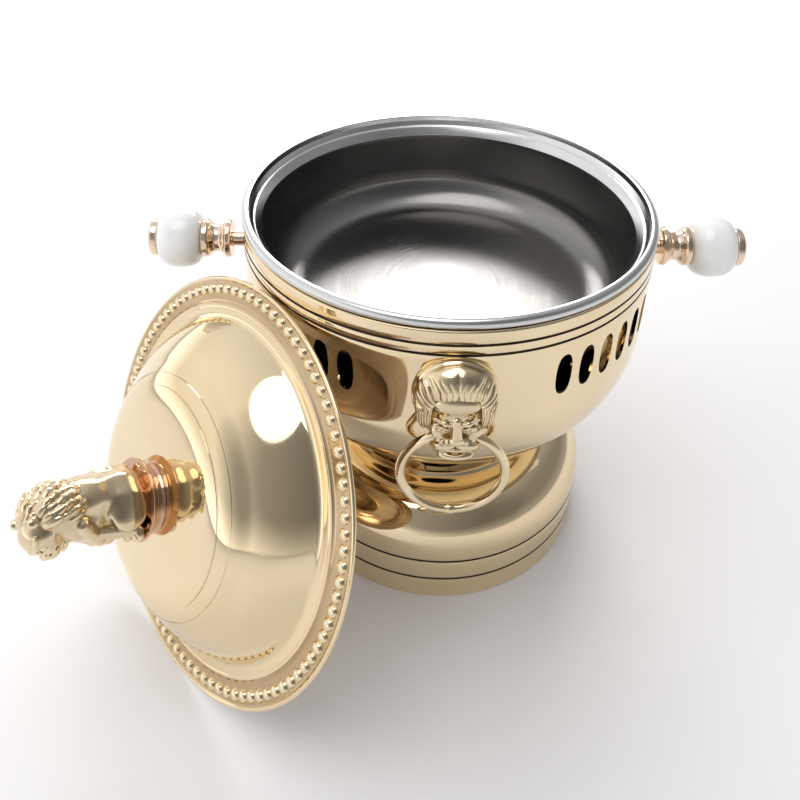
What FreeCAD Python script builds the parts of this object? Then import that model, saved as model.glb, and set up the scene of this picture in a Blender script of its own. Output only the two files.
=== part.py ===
import FreeCAD, Part
import math
import os
import re
import Sketcher
from FreeCAD import Placement, Rotation, Vector

# A one-person table hot pot: a slotted brass stove bowl on a drum base, a
# steel inner pot, a spirit burner, two porcelain-ball handles, two lion masks
# with pull rings, and a beaded lid that leans on the stove beside it.
# Frame: +Z up, origin where the stove's axis meets the table. The handles lie
# along X and the front mask faces -Y. Lengths are millimetres, angles degrees.

SIZES = {
    # drum base and vented neck
    "sheet_wall": 1.2,
    "base_radius": 81.5,
    "base_height": 57.0,
    "shoulder_round": 24.5,
    "plateau_rise": 2.0,
    "plateau_radius": 52.5,
    "plateau_hole_radius": 42.0,
    "foot_lip_width": 4.0,
    "base_groove_low": 14.0,
    "base_groove_high": 27.0,
    "groove_width": 0.9,
    "groove_depth": 0.5,
    "neck_radius": 50.5,
    "neck_height": 19.0,
    "vent_count": 8,
    "vent_width": 23.0,
    "vent_height": 7.0,
    "vent_rise": 5.0,
    # stove bowl
    "bowl_radius": 99.8,
    "bowl_round": 62.0,
    "bowl_height": 109.2,
    "mouth_round": 1.0,
    "band_groove_high": 6.7,
    "band_groove_low": 11.7,
    "slot_width": 8.0,
    "slot_height": 21.0,
    "slot_drop": 29.7,
    "slot_pitch": 7.1,
    "slot_count": 6,
    "slot_groups": 4,
    "air_hole_count": 10,
    "air_hole_radius": 3.5,
    "air_hole_circle": 43.5,
    # tie bolt that clamps bowl, neck and base
    "tie_radius": 3.0,
    "tie_head_radius": 5.5,
    "tie_head_height": 3.5,
    "tie_washer_radius": 9.0,
    "washer_thickness": 1.0,
    "bridge_length": 92.0,
    "bridge_width": 14.0,
    "bridge_thickness": 3.0,
    "tie_nut_radius": 5.8,
    "tie_nut_height": 5.0,
    "thread_tail": 2.0,
    "bolt_clearance": 0.2,
    # inner pot
    "pot_wall": 1.0,
    "pot_rim_bead": 2.4,
    "pot_rim_radius": 100.0,
    "pot_step_radius": 96.3,
    "pot_step_depth": 5.4,
    "pot_step_taper": 1.7,
    "pot_ledge_drop": 4.4,
    "pot_inner_radius": 90.5,
    "pot_depth": 52.0,
    "pot_corner": 20.0,
    "seat_gap": 0.3,
    # handles
    "handle_drop": 21.7,
    "rod_radius": 4.0,
    "rod_length": 7.4,
    "stud_radius": 2.5,
    "spool_length": 15.2,
    "spool_flange_radius": 9.8,
    "spool_waist_radius": 7.0,
    "spool_flange_width": 2.6,
    "ball_radius": 15.2,
    "ball_length": 21.4,
    "ball_face_radius": 8.6,
    "cap_radius": 9.4,
    "cap_thickness": 4.4,
    "stud_nut_radius": 4.6,
    "stud_nut_height": 3.2,
    "stud_washer_radius": 6.0,
    # lion masks and their rings
    "mask_drop": 31.0,
    "plate_radius": 18.0,
    "plate_reach": 3.6,
    "face_width": 25.0,
    "face_height": 30.0,
    "face_reach": 8.0,
    "mane_lobes": 11,
    "mane_lobe_length": 10.0,
    "mane_lobe_width": 6.4,
    "mane_lobe_reach": 5.2,
    "muzzle_width": 10.6,
    "muzzle_height": 13.0,
    "muzzle_reach": 13.0,
    "mask_screw_radius": 2.0,
    "mask_screw_length": 8.0,
    "mask_screw_head": 4.0,
    "mask_screw_head_height": 2.2,
    "ring_radius": 22.0,
    "ring_wire_radius": 2.1,
    "ring_reach": 8.0,
    "ring_pivot_drop": 14.5,
    "ring_nub_radius": 2.7,
    "ring_play": 0.3,
    # lid
    "lid_radius": 95.0,
    "lid_wall": 1.2,
    "lip_radius": 1.0,
    "bead_circle": 89.0,
    "bead_radius": 2.6,
    "bead_count": 90,
    "lid_step_radius": 83.5,
    "lid_step_rise": 1.0,
    "dome_foot_round": 3.0,
    "dome_foot_radius": 78.0,
    "flank_slope": 48.0,
    "shoulder_radius": 30.0,
    "crown_radius": 280.0,
    "crown_slope": 8.0,
    "lid_lean": 22.8,
    "lid_bearing": 39.7,
    "lean_gap": 0.3,
    # finial
    "pedestal_radius": 17.5,
    "pedestal_height": 3.4,
    "lion_height": 54.0,
    "lion_width": 30.0,
    "lion_depth": 33.0,
    "lion_turn": -50.0,
    "finial_screw_radius": 2.5,
    "finial_screw_grip": 9.0,
    "finial_screw_head": 5.0,
    "finial_screw_head_height": 3.0,
    "finial_washer_radius": 8.0,
    # burner
    "burner_radius": 28.0,
    "burner_height": 34.0,
    "burner_wall": 1.0,
    "burner_foot": 7.0,
    "burner_mouth_radius": 17.0,
    "cover_thickness": 1.2,
    "cover_skirt": 6.0,
    "damper_radius": 19.5,
    "damper_thickness": 1.2,
    "damper_offset": 22.3,
    "damper_gap": 0.3,
    "damper_tab_length": 12.0,
    "damper_tab_width": 7.0,
    "rivet_radius": 1.8,
    "rivet_head_radius": 3.0,
    "rivet_head_height": 1.2,
    "fit_gap": 0.3,
}

doc = FreeCAD.newDocument("HotPot")
sheet = doc.addObject("Spreadsheet::Sheet", "Sizes")
for row, (alias, number) in enumerate(SIZES.items(), start=1):
    sheet.set(f"A{row}", alias)
    sheet.set(f"B{row}", str(number))
    sheet.setAlias(f"B{row}", alias)
doc.recompute()

nodes = []


# Expressions name the sheet's cells; each bare alias gets its sheet in front.
def bound(text):
    return re.sub(r"[a-z_]+", lambda word: "Sizes." + word[0] if word[0] in SIZES else word[0], text)


# The number that an expression gives now, for first positions and placements.
def value(text):
    return float(sheet.evalExpression(bound(text)))


# Heights that several pieces share.
PLATEAU = "(base_height + plateau_rise)"
BOWL_BASE = f"({PLATEAU} + neck_height)"
BOWL_FLOOR = f"({BOWL_BASE} + sheet_wall)"
MOUTH = f"({BOWL_BASE} + bowl_height)"
RIM_TOP = f"({MOUTH} + seat_gap + 2 * pot_rim_bead)"
POT_FLOOR = f"({RIM_TOP} - pot_depth)"
MASK_LEVEL = f"({MOUTH} - mask_drop)"
PIVOT_LEVEL = f"({MASK_LEVEL} - ring_pivot_drop)"
PLATE_FACE = "(bowl_radius + plate_reach)"
BOWL_INSIDE = "(bowl_radius - sheet_wall)"


def origin_item(body, role):
    return next(item for item in body.Origin.OriginFeatures if item.Role == role)


def new_body(label):
    body = doc.addObject("PartDesign::Body", label)
    body.Label = label
    nodes.append(body)
    return body


def new_sketch(body, name, plane="XZ_Plane"):
    sketch = body.newObject("Sketcher::SketchObject", name)
    sketch.AttachmentSupport = [(origin_item(body, plane), "")]
    sketch.MapMode = "FlatFace"
    return sketch


def pin_point(sketch, edge, end, across, along):
    for kind, text in (("DistanceX", across), ("DistanceY", along)):
        number = value(text)
        index = sketch.addConstraint(Sketcher.Constraint(kind, -1, 1, edge, end, number))
        sketch.setExpression(f"Constraints[{index}]", bound(text))


# A closed outline. Each step is (across, along), reached by a straight line,
# or (across, along, radius, turn), reached by an arc that turns left (1) or
# right (-1). The last point joins the first by the first step's own edge.
def outline(sketch, steps):
    edges = []
    for number, step in enumerate(steps):
        before = steps[number - 1]
        start = Vector(value(before[0]), value(before[1]), 0)
        end = Vector(value(step[0]), value(step[1]), 0)
        if len(step) == 2:
            edge = sketch.addGeometry(Part.LineSegment(start, end), False)
            edges.append((edge, 1, 2))
            continue
        radius, turn = value(step[2]), step[3]
        chord = end - start
        rise = math.sqrt(max(radius * radius - chord.Length * chord.Length / 4, 0))
        left = Vector(-chord.y, chord.x, 0).normalize()
        centre = (start + end) * 0.5 + left * (turn * rise)
        first, last = (start, end) if turn > 0 else (end, start)
        angles = [math.atan2(point.y - centre.y, point.x - centre.x) for point in (first, last)]
        circle = Part.Circle(centre, Vector(0, 0, 1), radius)
        edge = sketch.addGeometry(Part.ArcOfCircle(circle, angles[0], angles[1]), False)
        edges.append((edge, 1, 2) if turn > 0 else (edge, 2, 1))
        index = sketch.addConstraint(Sketcher.Constraint("Radius", edge, radius))
        sketch.setExpression(f"Constraints[{index}]", bound(step[2]))
    for number, (edge, start_end, far_end) in enumerate(edges):
        following, next_start, _ = edges[(number + 1) % len(edges)]
        sketch.addConstraint(Sketcher.Constraint("Coincident", edge, far_end, following, next_start))
        pin_point(sketch, edge, far_end, steps[number][0], steps[number][1])


def circle(sketch, across, along, radius):
    centre = Vector(value(across), value(along), 0)
    edge = sketch.addGeometry(Part.Circle(centre, Vector(0, 0, 1), value(radius)), False)
    pin_point(sketch, edge, 3, across, along)
    index = sketch.addConstraint(Sketcher.Constraint("Radius", edge, value(radius)))
    sketch.setExpression(f"Constraints[{index}]", bound(radius))


def rectangle(sketch, left, right, low, high):
    outline(sketch, [(left, low), (right, low), (right, high), (left, high)])


# A piece turned on the lathe about the sketch's upright or level axis.
def turned(label, steps, axis="V_Axis"):
    body = new_body(label)
    sketch = new_sketch(body, label + "_outline")
    outline(sketch, steps)
    revolution = body.newObject("PartDesign::Revolution", label + "_turned")
    revolution.Profile = sketch
    revolution.ReferenceAxis = (sketch, [axis])
    revolution.Angle = 360
    doc.recompute()
    return body


def pocket_through(body, sketch, name, both=True):
    before = body.Shape.Volume
    pocket = body.newObject("PartDesign::Pocket", name)
    pocket.Profile = sketch
    pocket.Type = "ThroughAll"
    pocket.SideType = "Symmetric" if both else "One side"
    doc.recompute()
    check_cut(body, before, name)
    return pocket


def check_cut(body, before, name):
    if body.Shape.Volume >= before:
        raise RuntimeError(f"{name} cuts nothing")


# Fine turned lines: shallow square grooves at the given heights.
def groove_lines(body, name, radius, heights):
    before = body.Shape.Volume
    sketch = new_sketch(body, name + "_outline")
    for height in heights:
        rectangle(sketch, f"{radius} - groove_depth", f"{radius} + groove_depth",
                  f"{height} - groove_width / 2", f"{height} + groove_width / 2")
    groove = body.newObject("PartDesign::Groove", name)
    groove.Profile = sketch
    groove.ReferenceAxis = (sketch, ["V_Axis"])
    groove.Angle = 360
    doc.recompute()
    check_cut(body, before, name)


# An upright or level oval with round ends, as four quarter arcs.
def oval_sketch(body, name, level, width, height):
    sketch = new_sketch(body, name)
    upright = value(height) > value(width)
    if upright:
        side, end = f"{width} / 2", f"({height} - {width}) / 2"
        steps = [("0", f"{level} + {height} / 2", side, 1),
                 (f"-{side}", f"{level} + {end}", side, 1),
                 (f"-{side}", f"{level} - {end}"),
                 ("0", f"{level} - {height} / 2", side, 1),
                 (side, f"{level} - {end}", side, 1),
                 (side, f"{level} + {end}")]
    else:
        side, end = f"({width} - {height}) / 2", f"{height} / 2"
        steps = [(f"{width} / 2", level, end, 1),
                 (side, f"{level} + {end}", end, 1),
                 (f"-{side}", f"{level} + {end}"),
                 (f"-{width} / 2", level, end, 1),
                 (f"-{side}", f"{level} - {end}", end, 1),
                 (side, f"{level} - {end}")]
    outline(sketch, steps)
    return sketch


def polar(body, features, name, count, angle):
    pattern = body.newObject("PartDesign::PolarPattern", name)
    pattern.Originals = features
    pattern.Axis = (origin_item(body, "Z_Axis"), [""])
    pattern.Angle = angle
    pattern.Occurrences = count
    body.Tip = pattern
    return pattern


# Drum base: foot lip, upright wall, rounded shoulder, raised plateau that the
# neck stands on. Open underneath, one sheet thick.
def make_base():
    inner = "(base_radius - sheet_wall)"
    body = turned("base_drum", [
        (f"{inner} - foot_lip_width", "0"),
        ("base_radius", "0"),
        ("base_radius", "base_height - shoulder_round"),
        ("base_radius - shoulder_round", "base_height", "shoulder_round", 1),
        ("plateau_radius", PLATEAU),
        ("plateau_hole_radius", PLATEAU),
        ("plateau_hole_radius", f"{PLATEAU} - sheet_wall"),
        ("plateau_radius", f"{PLATEAU} - sheet_wall"),
        ("base_radius - shoulder_round", "base_height - sheet_wall"),
        (inner, "base_height - shoulder_round", "shoulder_round - sheet_wall", -1),
        (inner, "sheet_wall"),
        (f"{inner} - foot_lip_width", "sheet_wall"),
    ])
    groove_lines(body, "base_grooves", "base_radius", ["base_groove_low", "base_groove_high"])


# Height of the bowl's round underside at a radius from the axis.
def underside(radius):
    centre = "(bowl_radius - bowl_round)"
    return f"{BOWL_BASE} + bowl_round - sqrt(bowl_round ^ 2 - ({radius} - {centre}) ^ 2)"


# Neck: a vented collar between the base's plateau and the bowl's underside.
def make_neck():
    inner = "(neck_radius - sheet_wall)"
    body = turned("neck_collar", [
        (inner, PLATEAU),
        ("neck_radius", PLATEAU),
        ("neck_radius", underside("neck_radius")),
        (inner, underside(inner)),
    ])
    level = f"{PLATEAU} + vent_rise"
    vent = pocket_through(body, oval_sketch(body, "vent_outline", level, "vent_width", "vent_height"),
                          "vent_pair")
    polar(body, [vent], "vent_ring", int(value("vent_count")) // 2, 180)


# Bowl: flat floor, deep rounded underside, upright slotted wall, open mouth.
def make_bowl():
    centre = "(bowl_radius - bowl_round)"
    spring = f"({BOWL_BASE} + bowl_round)"
    body = turned("stove_bowl", [
        ("tie_radius + bolt_clearance", BOWL_BASE),
        (centre, BOWL_BASE),
        ("bowl_radius", spring, "bowl_round", 1),
        ("bowl_radius", f"{MOUTH} - mouth_round"),
        ("bowl_radius - mouth_round", MOUTH, "mouth_round", 1),
        (BOWL_INSIDE, MOUTH),
        (BOWL_INSIDE, spring),
        (centre, BOWL_FLOOR, "bowl_round - sheet_wall", -1),
        ("tie_radius + bolt_clearance", BOWL_FLOOR),
    ])
    groove_lines(body, "band_grooves", "bowl_radius",
                 [f"{MOUTH} - band_groove_high", f"{MOUTH} - band_groove_low"])
    handle_level = f"{MOUTH} - handle_drop"
    stud_holes = new_sketch(body, "stud_hole_outline", "YZ_Plane")
    circle(stud_holes, "0", handle_level, "stud_radius + bolt_clearance")
    pocket_through(body, stud_holes, "stud_holes")
    screw_holes = new_sketch(body, "mask_screw_hole_outline")
    circle(screw_holes, "0", MASK_LEVEL, "mask_screw_radius + bolt_clearance")
    pocket_through(body, screw_holes, "mask_screw_holes")
    air_hole = new_sketch(body, "air_hole_outline", "XY_Plane")
    circle(air_hole, "air_hole_circle", "0", "air_hole_radius")
    hole = body.newObject("PartDesign::Pocket", "air_hole")
    before = body.Shape.Volume
    hole.Profile = air_hole
    hole.Type = "Length"
    hole.Reversed = True
    hole.setExpression("Length", bound(f"{BOWL_FLOOR} + bowl_round / 4"))
    doc.recompute()
    check_cut(body, before, "air_hole")
    polar(body, [hole], "air_hole_ring", int(value("air_hole_count")), 360)
    doc.recompute()
    make_slots(body)


# Smoke slots: groups of upright ovals between the masks and the handles.
def make_slots(body):
    before = body.Shape.Volume
    sketch = oval_sketch(body, "slot_outline", f"{MOUTH} - slot_drop", "slot_width", "slot_height")
    quarter = 360 / value("slot_groups")
    first = quarter / 2 - value("slot_pitch") * (value("slot_count") - 1) / 2
    sketch.AttachmentOffset = Placement(Vector(), Rotation(Vector(0, 1, 0), first))
    slot = body.newObject("PartDesign::Pocket", "slot")
    slot.Profile = sketch
    slot.Type = "ThroughAll"
    doc.recompute()
    check_cut(body, before, "slot")
    steps = body.newObject("PartDesign::MultiTransform", "slot_ring")
    steps.Originals = [slot]
    group = body.newObject("PartDesign::PolarPattern", "slot_group")
    group.Axis = (origin_item(body, "Z_Axis"), [""])
    group.Angle = value("slot_pitch") * (value("slot_count") - 1)
    group.Occurrences = int(value("slot_count"))
    groups = body.newObject("PartDesign::PolarPattern", "slot_groups")
    groups.Axis = (origin_item(body, "Z_Axis"), [""])
    groups.Angle = 360
    groups.Occurrences = int(value("slot_groups"))
    steps.Transformations = [group, groups]
    body.Tip = steps
    doc.recompute()


# Plain turned rings, discs and pins, given as radius and height spans.
def ring_piece(label, inner, outer, low, high):
    return turned(label, [(inner, low), (outer, low), (outer, high), (inner, high)])


# The tie bolt runs from the bowl's floor to a bridge bar inside the base.
def make_tie():
    seat = f"({BOWL_FLOOR} + washer_thickness)"
    bridge_top = f"({PLATEAU} - sheet_wall)"
    bridge_low = f"({bridge_top} - bridge_thickness)"
    nut_low = f"({bridge_low} - tie_nut_height)"
    hole = "tie_radius + bolt_clearance"
    ring_piece("tie_washer", hole, "tie_washer_radius", BOWL_FLOOR, seat)
    turned("tie_bolt", [
        ("0", f"{nut_low} - thread_tail"),
        ("tie_radius", f"{nut_low} - thread_tail"),
        ("tie_radius", seat),
        ("tie_head_radius", seat),
        ("tie_head_radius", f"{seat} + tie_head_height / 2"),
        ("tie_head_radius - tie_head_height / 2", f"{seat} + tie_head_height", "tie_head_height / 2", 1),
        ("0", f"{seat} + tie_head_height"),
    ])
    bridge = new_body("tie_bridge")
    sketch = new_sketch(bridge, "tie_bridge_outline", "XY_Plane")
    rectangle(sketch, "-bridge_length / 2", "bridge_length / 2", "-bridge_width / 2", "bridge_width / 2")
    circle(sketch, "0", "0", hole)
    lift_and_pad(bridge, sketch, bridge_low, "bridge_thickness")
    nut = new_body("tie_nut")
    sketch = new_sketch(nut, "tie_nut_outline", "XY_Plane")
    hexagon(sketch, "tie_nut_radius")
    circle(sketch, "0", "0", "tie_radius")
    lift_and_pad(nut, sketch, nut_low, "tie_nut_height")


def lift_and_pad(body, sketch, level, thickness):
    sketch.setExpression("AttachmentOffset.Base.z", bound(level))
    pad = body.newObject("PartDesign::Pad", body.Label + "_pad")
    pad.Profile = sketch
    pad.setExpression("Length", bound(thickness))
    doc.recompute()


def hexagon(sketch, radius):
    steps = []
    for corner in range(6):
        steps.append((f"{radius} * cos({corner * 60} deg)", f"{radius} * sin({corner * 60} deg)"))
    outline(sketch, steps)


# Inner pot: rolled rim that sits on the stove's mouth, a step and sloping
# ledge that take the lid, and a round-cornered pan.
def make_pot():
    top = f"({RIM_TOP} - pot_wall)"
    ledge = f"({RIM_TOP} - pot_step_depth)"
    ledge_low = f"({ledge} - pot_ledge_drop)"
    step_foot = "(pot_step_radius - pot_step_taper)"
    bead_radius = "(pot_rim_radius - pot_rim_bead)"
    turned("inner_pot", [
        ("0", f"{POT_FLOOR} - pot_wall"),
        ("pot_inner_radius - pot_corner", f"{POT_FLOOR} - pot_wall"),
        ("pot_inner_radius + pot_wall", f"{POT_FLOOR} + pot_corner", "pot_corner + pot_wall", 1),
        ("pot_inner_radius + pot_wall", f"{ledge_low} - pot_wall / 2"),
        (f"{step_foot} + pot_wall", f"{ledge} - pot_wall / 2"),
        ("pot_step_radius + pot_wall", f"{RIM_TOP} - pot_rim_bead - pot_rim_bead * sin(40 deg)"),
        (bead_radius, f"{RIM_TOP} - 2 * pot_rim_bead"),
        ("pot_rim_radius", f"{RIM_TOP} - pot_rim_bead", "pot_rim_bead", 1),
        (bead_radius, RIM_TOP, "pot_rim_bead", 1),
        ("pot_step_radius + pot_wall / 2", RIM_TOP),
        ("pot_step_radius", f"{RIM_TOP} - pot_wall / 2", "pot_wall / 2", 1),
        (step_foot, ledge),
        ("pot_inner_radius", ledge_low),
        ("pot_inner_radius", f"{POT_FLOOR} + pot_corner"),
        ("pot_inner_radius - pot_corner", POT_FLOOR, "pot_corner", -1),
        ("0", POT_FLOOR),
    ])


# One handle: a shouldered stud through the wall carries a waisted brass spool,
# a porcelain ball and a screwed cap; a washer and nut hold it inside.
def make_handle(side, turn):
    wall_out = "bowl_radius"
    spool_start = f"({wall_out} + rod_length)"
    ball_start = f"({spool_start} + spool_length)"
    cap_start = f"({ball_start} + ball_length)"
    cap_end = f"({cap_start} + cap_thickness)"
    washer_seat = f"sqrt({BOWL_INSIDE} ^ 2 - stud_washer_radius ^ 2)"
    washer_start = f"({washer_seat} - washer_thickness)"
    nut_start = f"({washer_start} - stud_nut_height)"
    hole = "stud_radius"
    stud = turned(f"{side}_handle_stud", [
        (f"{nut_start} - thread_tail / 4", "0"),
        (f"{cap_end} - cap_thickness / 3", "0"),
        (f"{cap_end} - cap_thickness / 3", "stud_radius"),
        (spool_start, "stud_radius"),
        (spool_start, "rod_radius"),
        (wall_out, "rod_radius"),
        (wall_out, "stud_radius"),
        (f"{nut_start} - thread_tail / 4", "stud_radius"),
    ], "H_Axis")
    waist = "(spool_flange_radius - spool_waist_radius)"
    spool = turned(f"{side}_handle_spool", [
        (spool_start, hole),
        (ball_start, hole),
        (ball_start, "spool_flange_radius"),
        (f"{ball_start} - spool_flange_width", "spool_flange_radius"),
        (f"{ball_start} - spool_flange_width - {waist}", "spool_waist_radius", waist, -1),
        (f"{spool_start} + spool_flange_width + {waist}", "spool_waist_radius"),
        (f"{spool_start} + spool_flange_width", "spool_flange_radius", waist, -1),
        (spool_start, "spool_flange_radius"),
    ], "H_Axis")
    bulge = "((ball_length / 2) ^ 2 + (ball_radius - ball_face_radius) ^ 2) / (2 * (ball_radius - ball_face_radius))"
    ball = turned(f"{side}_handle_ball", [
        (ball_start, hole),
        (cap_start, hole),
        (cap_start, "ball_face_radius"),
        (f"{ball_start} + ball_length / 2", "ball_radius", bulge, 1),
        (ball_start, "ball_face_radius", bulge, 1),
    ], "H_Axis")
    cap = turned(f"{side}_handle_cap", [
        (cap_start, hole),
        (f"{cap_end} - cap_thickness / 3", hole),
        (f"{cap_end} - cap_thickness / 3", "0"),
        (cap_end, "0"),
        (cap_end, "cap_radius - cap_thickness / 2"),
        (f"{cap_end} - cap_thickness / 2", "cap_radius", "cap_thickness / 2", 1),
        (cap_start, "cap_radius"),
    ], "H_Axis")
    washer = turned(f"{side}_stud_washer", [
        (washer_start, hole),
        (washer_seat, hole),
        (washer_seat, "stud_washer_radius"),
        (washer_start, "stud_washer_radius"),
    ], "H_Axis")
    nut = turned(f"{side}_stud_nut", [
        (nut_start, hole),
        (washer_start, hole),
        (washer_start, "stud_nut_radius"),
        (nut_start, "stud_nut_radius"),
    ], "H_Axis")
    for body in (stud, spool, ball, cap, washer, nut):
        body.Placement = Placement(
            Vector(0, 0, value(f"{MOUTH} - handle_drop")), Rotation(Vector(0, 0, 1), turn))


# Part primitives used by the cast figures and the rings.
def primitive(kind, name, sizes, at, turn=None):
    item = doc.addObject("Part::" + kind, name)
    for field, text in sizes.items():
        item.setExpression(field, bound(text))
    item.Placement = Placement(Vector(), turn or Rotation())
    for field, text in zip("xyz", at):
        item.setExpression("Placement.Base." + field, bound(text))
    return item


# An egg shape with its three half-lengths along X, Y and Z.
def lump(name, half_lengths, at, turn=None):
    fields = dict(zip(("Radius2", "Radius3", "Radius1"), half_lengths))
    return primitive("Ellipsoid", name, fields, at, turn)


# Solids joined one after another, which keeps every seam between lumps clean.
def fused(name, items):
    whole = items[0]
    for number, item in enumerate(items[1:], start=1):
        joint = doc.addObject("Part::Fuse", f"{name}_{number}")
        joint.Base = whole
        joint.Tool = item
        whole = joint
    return whole


def cut(name, base, tool):
    result = doc.addObject("Part::Cut", name)
    result.Base = base
    result.Tool = tool
    return result


def keep_as_node(item, label, placement):
    item.Label = label
    item.Placement = placement
    nodes.append(item)


# Lion head, cast solid: skull, brows, nose, cheeks, jaw and a ring of mane
# locks. Built facing +X round the X axis, cut flat behind, with the ring's
# bore across the jaw and a blind hole for the screw.
def make_lion_head(side, placement):
    pieces = []
    face = PLATE_FACE
    pivot_reach = "(bowl_radius + ring_reach)"

    def add(name, half_lengths, out, aside, up, turn=None):
        at = (f"{face} + {out}", aside, up)
        pieces.append(lump(f"{side}_{name}", half_lengths, at, turn))

    add("skull", ("face_reach", "face_width / 2", "face_height / 2"), "0", "0", "face_height / 20")
    add("nose", ("face_reach * 0.4", "face_width * 0.09", "face_height * 0.23"),
        "face_reach * 0.95", "0", "-face_height * 0.05")
    add("nose_tip", ("face_reach * 0.3", "face_width * 0.14", "face_height * 0.08"),
        "face_reach * 1.25", "0", "-face_height * 0.2")
    add("jaw", ("muzzle_height * 0.4", "muzzle_width / 2", "muzzle_height * 0.36"),
        "(ring_reach - plate_reach)", "0", "-ring_pivot_drop")
    for hand in ("-", ""):
        tilt = Rotation(Vector(1, 0, 0), -18 if hand else 18)
        add("brow" + hand, ("face_reach * 0.4", "face_width * 0.19", "face_height * 0.08"),
            "face_reach * 0.85", f"{hand}face_width * 0.19", "face_height * 0.16", tilt)
        add("cheek" + hand, ("face_reach * 0.6", "face_width * 0.17", "face_height * 0.15"),
            "face_reach * 0.95", f"{hand}face_width * 0.13", "-face_height * 0.3")
    locks = int(value("mane_lobes"))
    for lock in range(locks):
        angle = -35 + 250 * lock / (locks - 1)
        spread = f"(plate_radius - mane_lobe_length / 2) * cos({angle} deg)"
        height = f"(plate_radius - mane_lobe_length / 2) * sin({angle} deg)"
        add(f"lock{lock}", ("mane_lobe_reach", "mane_lobe_length / 2", "mane_lobe_width / 2"),
            "0", spread, height, Rotation(Vector(1, 0, 0), angle))
    behind = primitive("Box", f"{side}_behind", {
        "Length": "plate_reach + face_reach", "Width": "4 * plate_radius", "Height": "4 * plate_radius",
    }, (f"{face} - (plate_reach + face_reach)", "-2 * plate_radius", "-2 * plate_radius"))
    along_x = Rotation(Vector(0, 1, 0), 90)
    along_y = Rotation(Vector(1, 0, 0), -90)
    sag = "(muzzle_width ^ 2 / 8 / ring_radius)"
    bore = primitive("Cylinder", f"{side}_ring_bore", {
        "Radius": f"ring_wire_radius + {sag} + ring_play", "Height": "2 * plate_radius",
    }, (pivot_reach, "-plate_radius", "-ring_pivot_drop"), along_y)
    tapped = primitive("Cylinder", f"{side}_tapped_hole", {
        "Radius": "mask_screw_radius", "Height": "mask_screw_length",
    }, (f"{BOWL_INSIDE} - bolt_clearance", "0", "0"), along_x)
    whole = fused(f"{side}_lion_lumps", pieces)
    tools = fused(f"{side}_lion_cutters", [behind, bore, tapped])
    keep_as_node(cut(f"{side}_lion_cast", whole, tools), f"{side}_lion_mask", placement)
    return nodes[-1]


# Everything on one mask: domed plate, lion head, screw with washer, pull ring.
def make_mask(side, turn):
    placement = Placement(Vector(0, 0, value(MASK_LEVEL)), Rotation(Vector(0, 0, 1), turn))
    washer_radius = "(mask_screw_head + washer_thickness)"
    washer_seat = f"sqrt({BOWL_INSIDE} ^ 2 - {washer_radius} ^ 2)"
    screw_start = f"({washer_seat} - washer_thickness)"
    screw_hole = "mask_screw_radius + bolt_clearance"
    plate = turned(f"{side}_mask_plate", [
        ("bowl_radius - plate_reach", screw_hole),
        (PLATE_FACE, screw_hole),
        (PLATE_FACE, "plate_radius - plate_reach / 2"),
        (f"{PLATE_FACE} - plate_reach / 2", "plate_radius", "plate_reach / 2", 1),
        ("bowl_radius - plate_reach", "plate_radius"),
    ], "H_Axis")
    wall_cut = new_sketch(plate, f"{side}_wall_cut_outline", "XY_Plane")
    circle(wall_cut, "0", "0", "bowl_radius")
    pocket_through(plate, wall_cut, f"{side}_wall_cut")
    plate.Placement = placement
    screw = turned(f"{side}_mask_screw", [
        (f"{screw_start} - mask_screw_head_height", "0"),
        (f"{BOWL_INSIDE} + mask_screw_length - 2 * bolt_clearance", "0"),
        (f"{BOWL_INSIDE} + mask_screw_length - 2 * bolt_clearance", "mask_screw_radius"),
        (screw_start, "mask_screw_radius"),
        (screw_start, "mask_screw_head"),
        (f"{screw_start} - mask_screw_head_height / 2", "mask_screw_head"),
        (f"{screw_start} - mask_screw_head_height", "mask_screw_head - mask_screw_head_height / 2",
         "mask_screw_head_height / 2", 1),
    ], "H_Axis")
    screw.Placement = placement
    washer = turned(f"{side}_mask_washer", [
        (screw_start, "mask_screw_radius"),
        (washer_seat, "mask_screw_radius"),
        (washer_seat, washer_radius),
        (screw_start, washer_radius),
    ], "H_Axis")
    washer.Placement = placement
    hoop = primitive("Torus", f"{side}_hoop", {
        "Radius1": "ring_radius", "Radius2": "ring_wire_radius",
    }, ("bowl_radius + ring_reach", "0", "-ring_pivot_drop - ring_radius"), Rotation(Vector(0, 1, 0), 90))
    nub = lump(f"{side}_nub", ("ring_nub_radius",) * 3,
               ("bowl_radius + ring_reach", "0", "-ring_pivot_drop - 2 * ring_radius"))
    keep_as_node(fused(f"{side}_ring_whole", [hoop, nub]), f"{side}_pull_ring", placement)
    return placement


# The lid's own frame: flange underside at zero, +Z out through the finial,
# +Y up the leaning lid. The lip rests on the table and, 0.3 mm short of
# touching, on the bowl's wall.
def lid_placement():
    lean = math.radians(value("lid_lean"))
    bearing = math.radians(180 + value("lid_bearing"))
    lip = value("lip_radius")
    reach = value("lid_radius") - lip
    stand_off = value("bowl_radius + lean_gap") + reach * math.sin(lean) - lip * math.cos(lean) + lip
    height = reach * math.cos(lean) + lip - lip * math.sin(lean)
    outward = Vector(math.cos(bearing), math.sin(bearing), 0)
    axis = outward * math.cos(lean) + Vector(0, 0, math.sin(lean))
    upward = Vector(0, 0, math.cos(lean)) - outward * math.sin(lean)
    sideways = upward.cross(axis)
    centre = outward * stand_off + Vector(0, 0, height)
    return Placement(centre, Rotation(sideways, upward, axis, "ZXY"))


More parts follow.
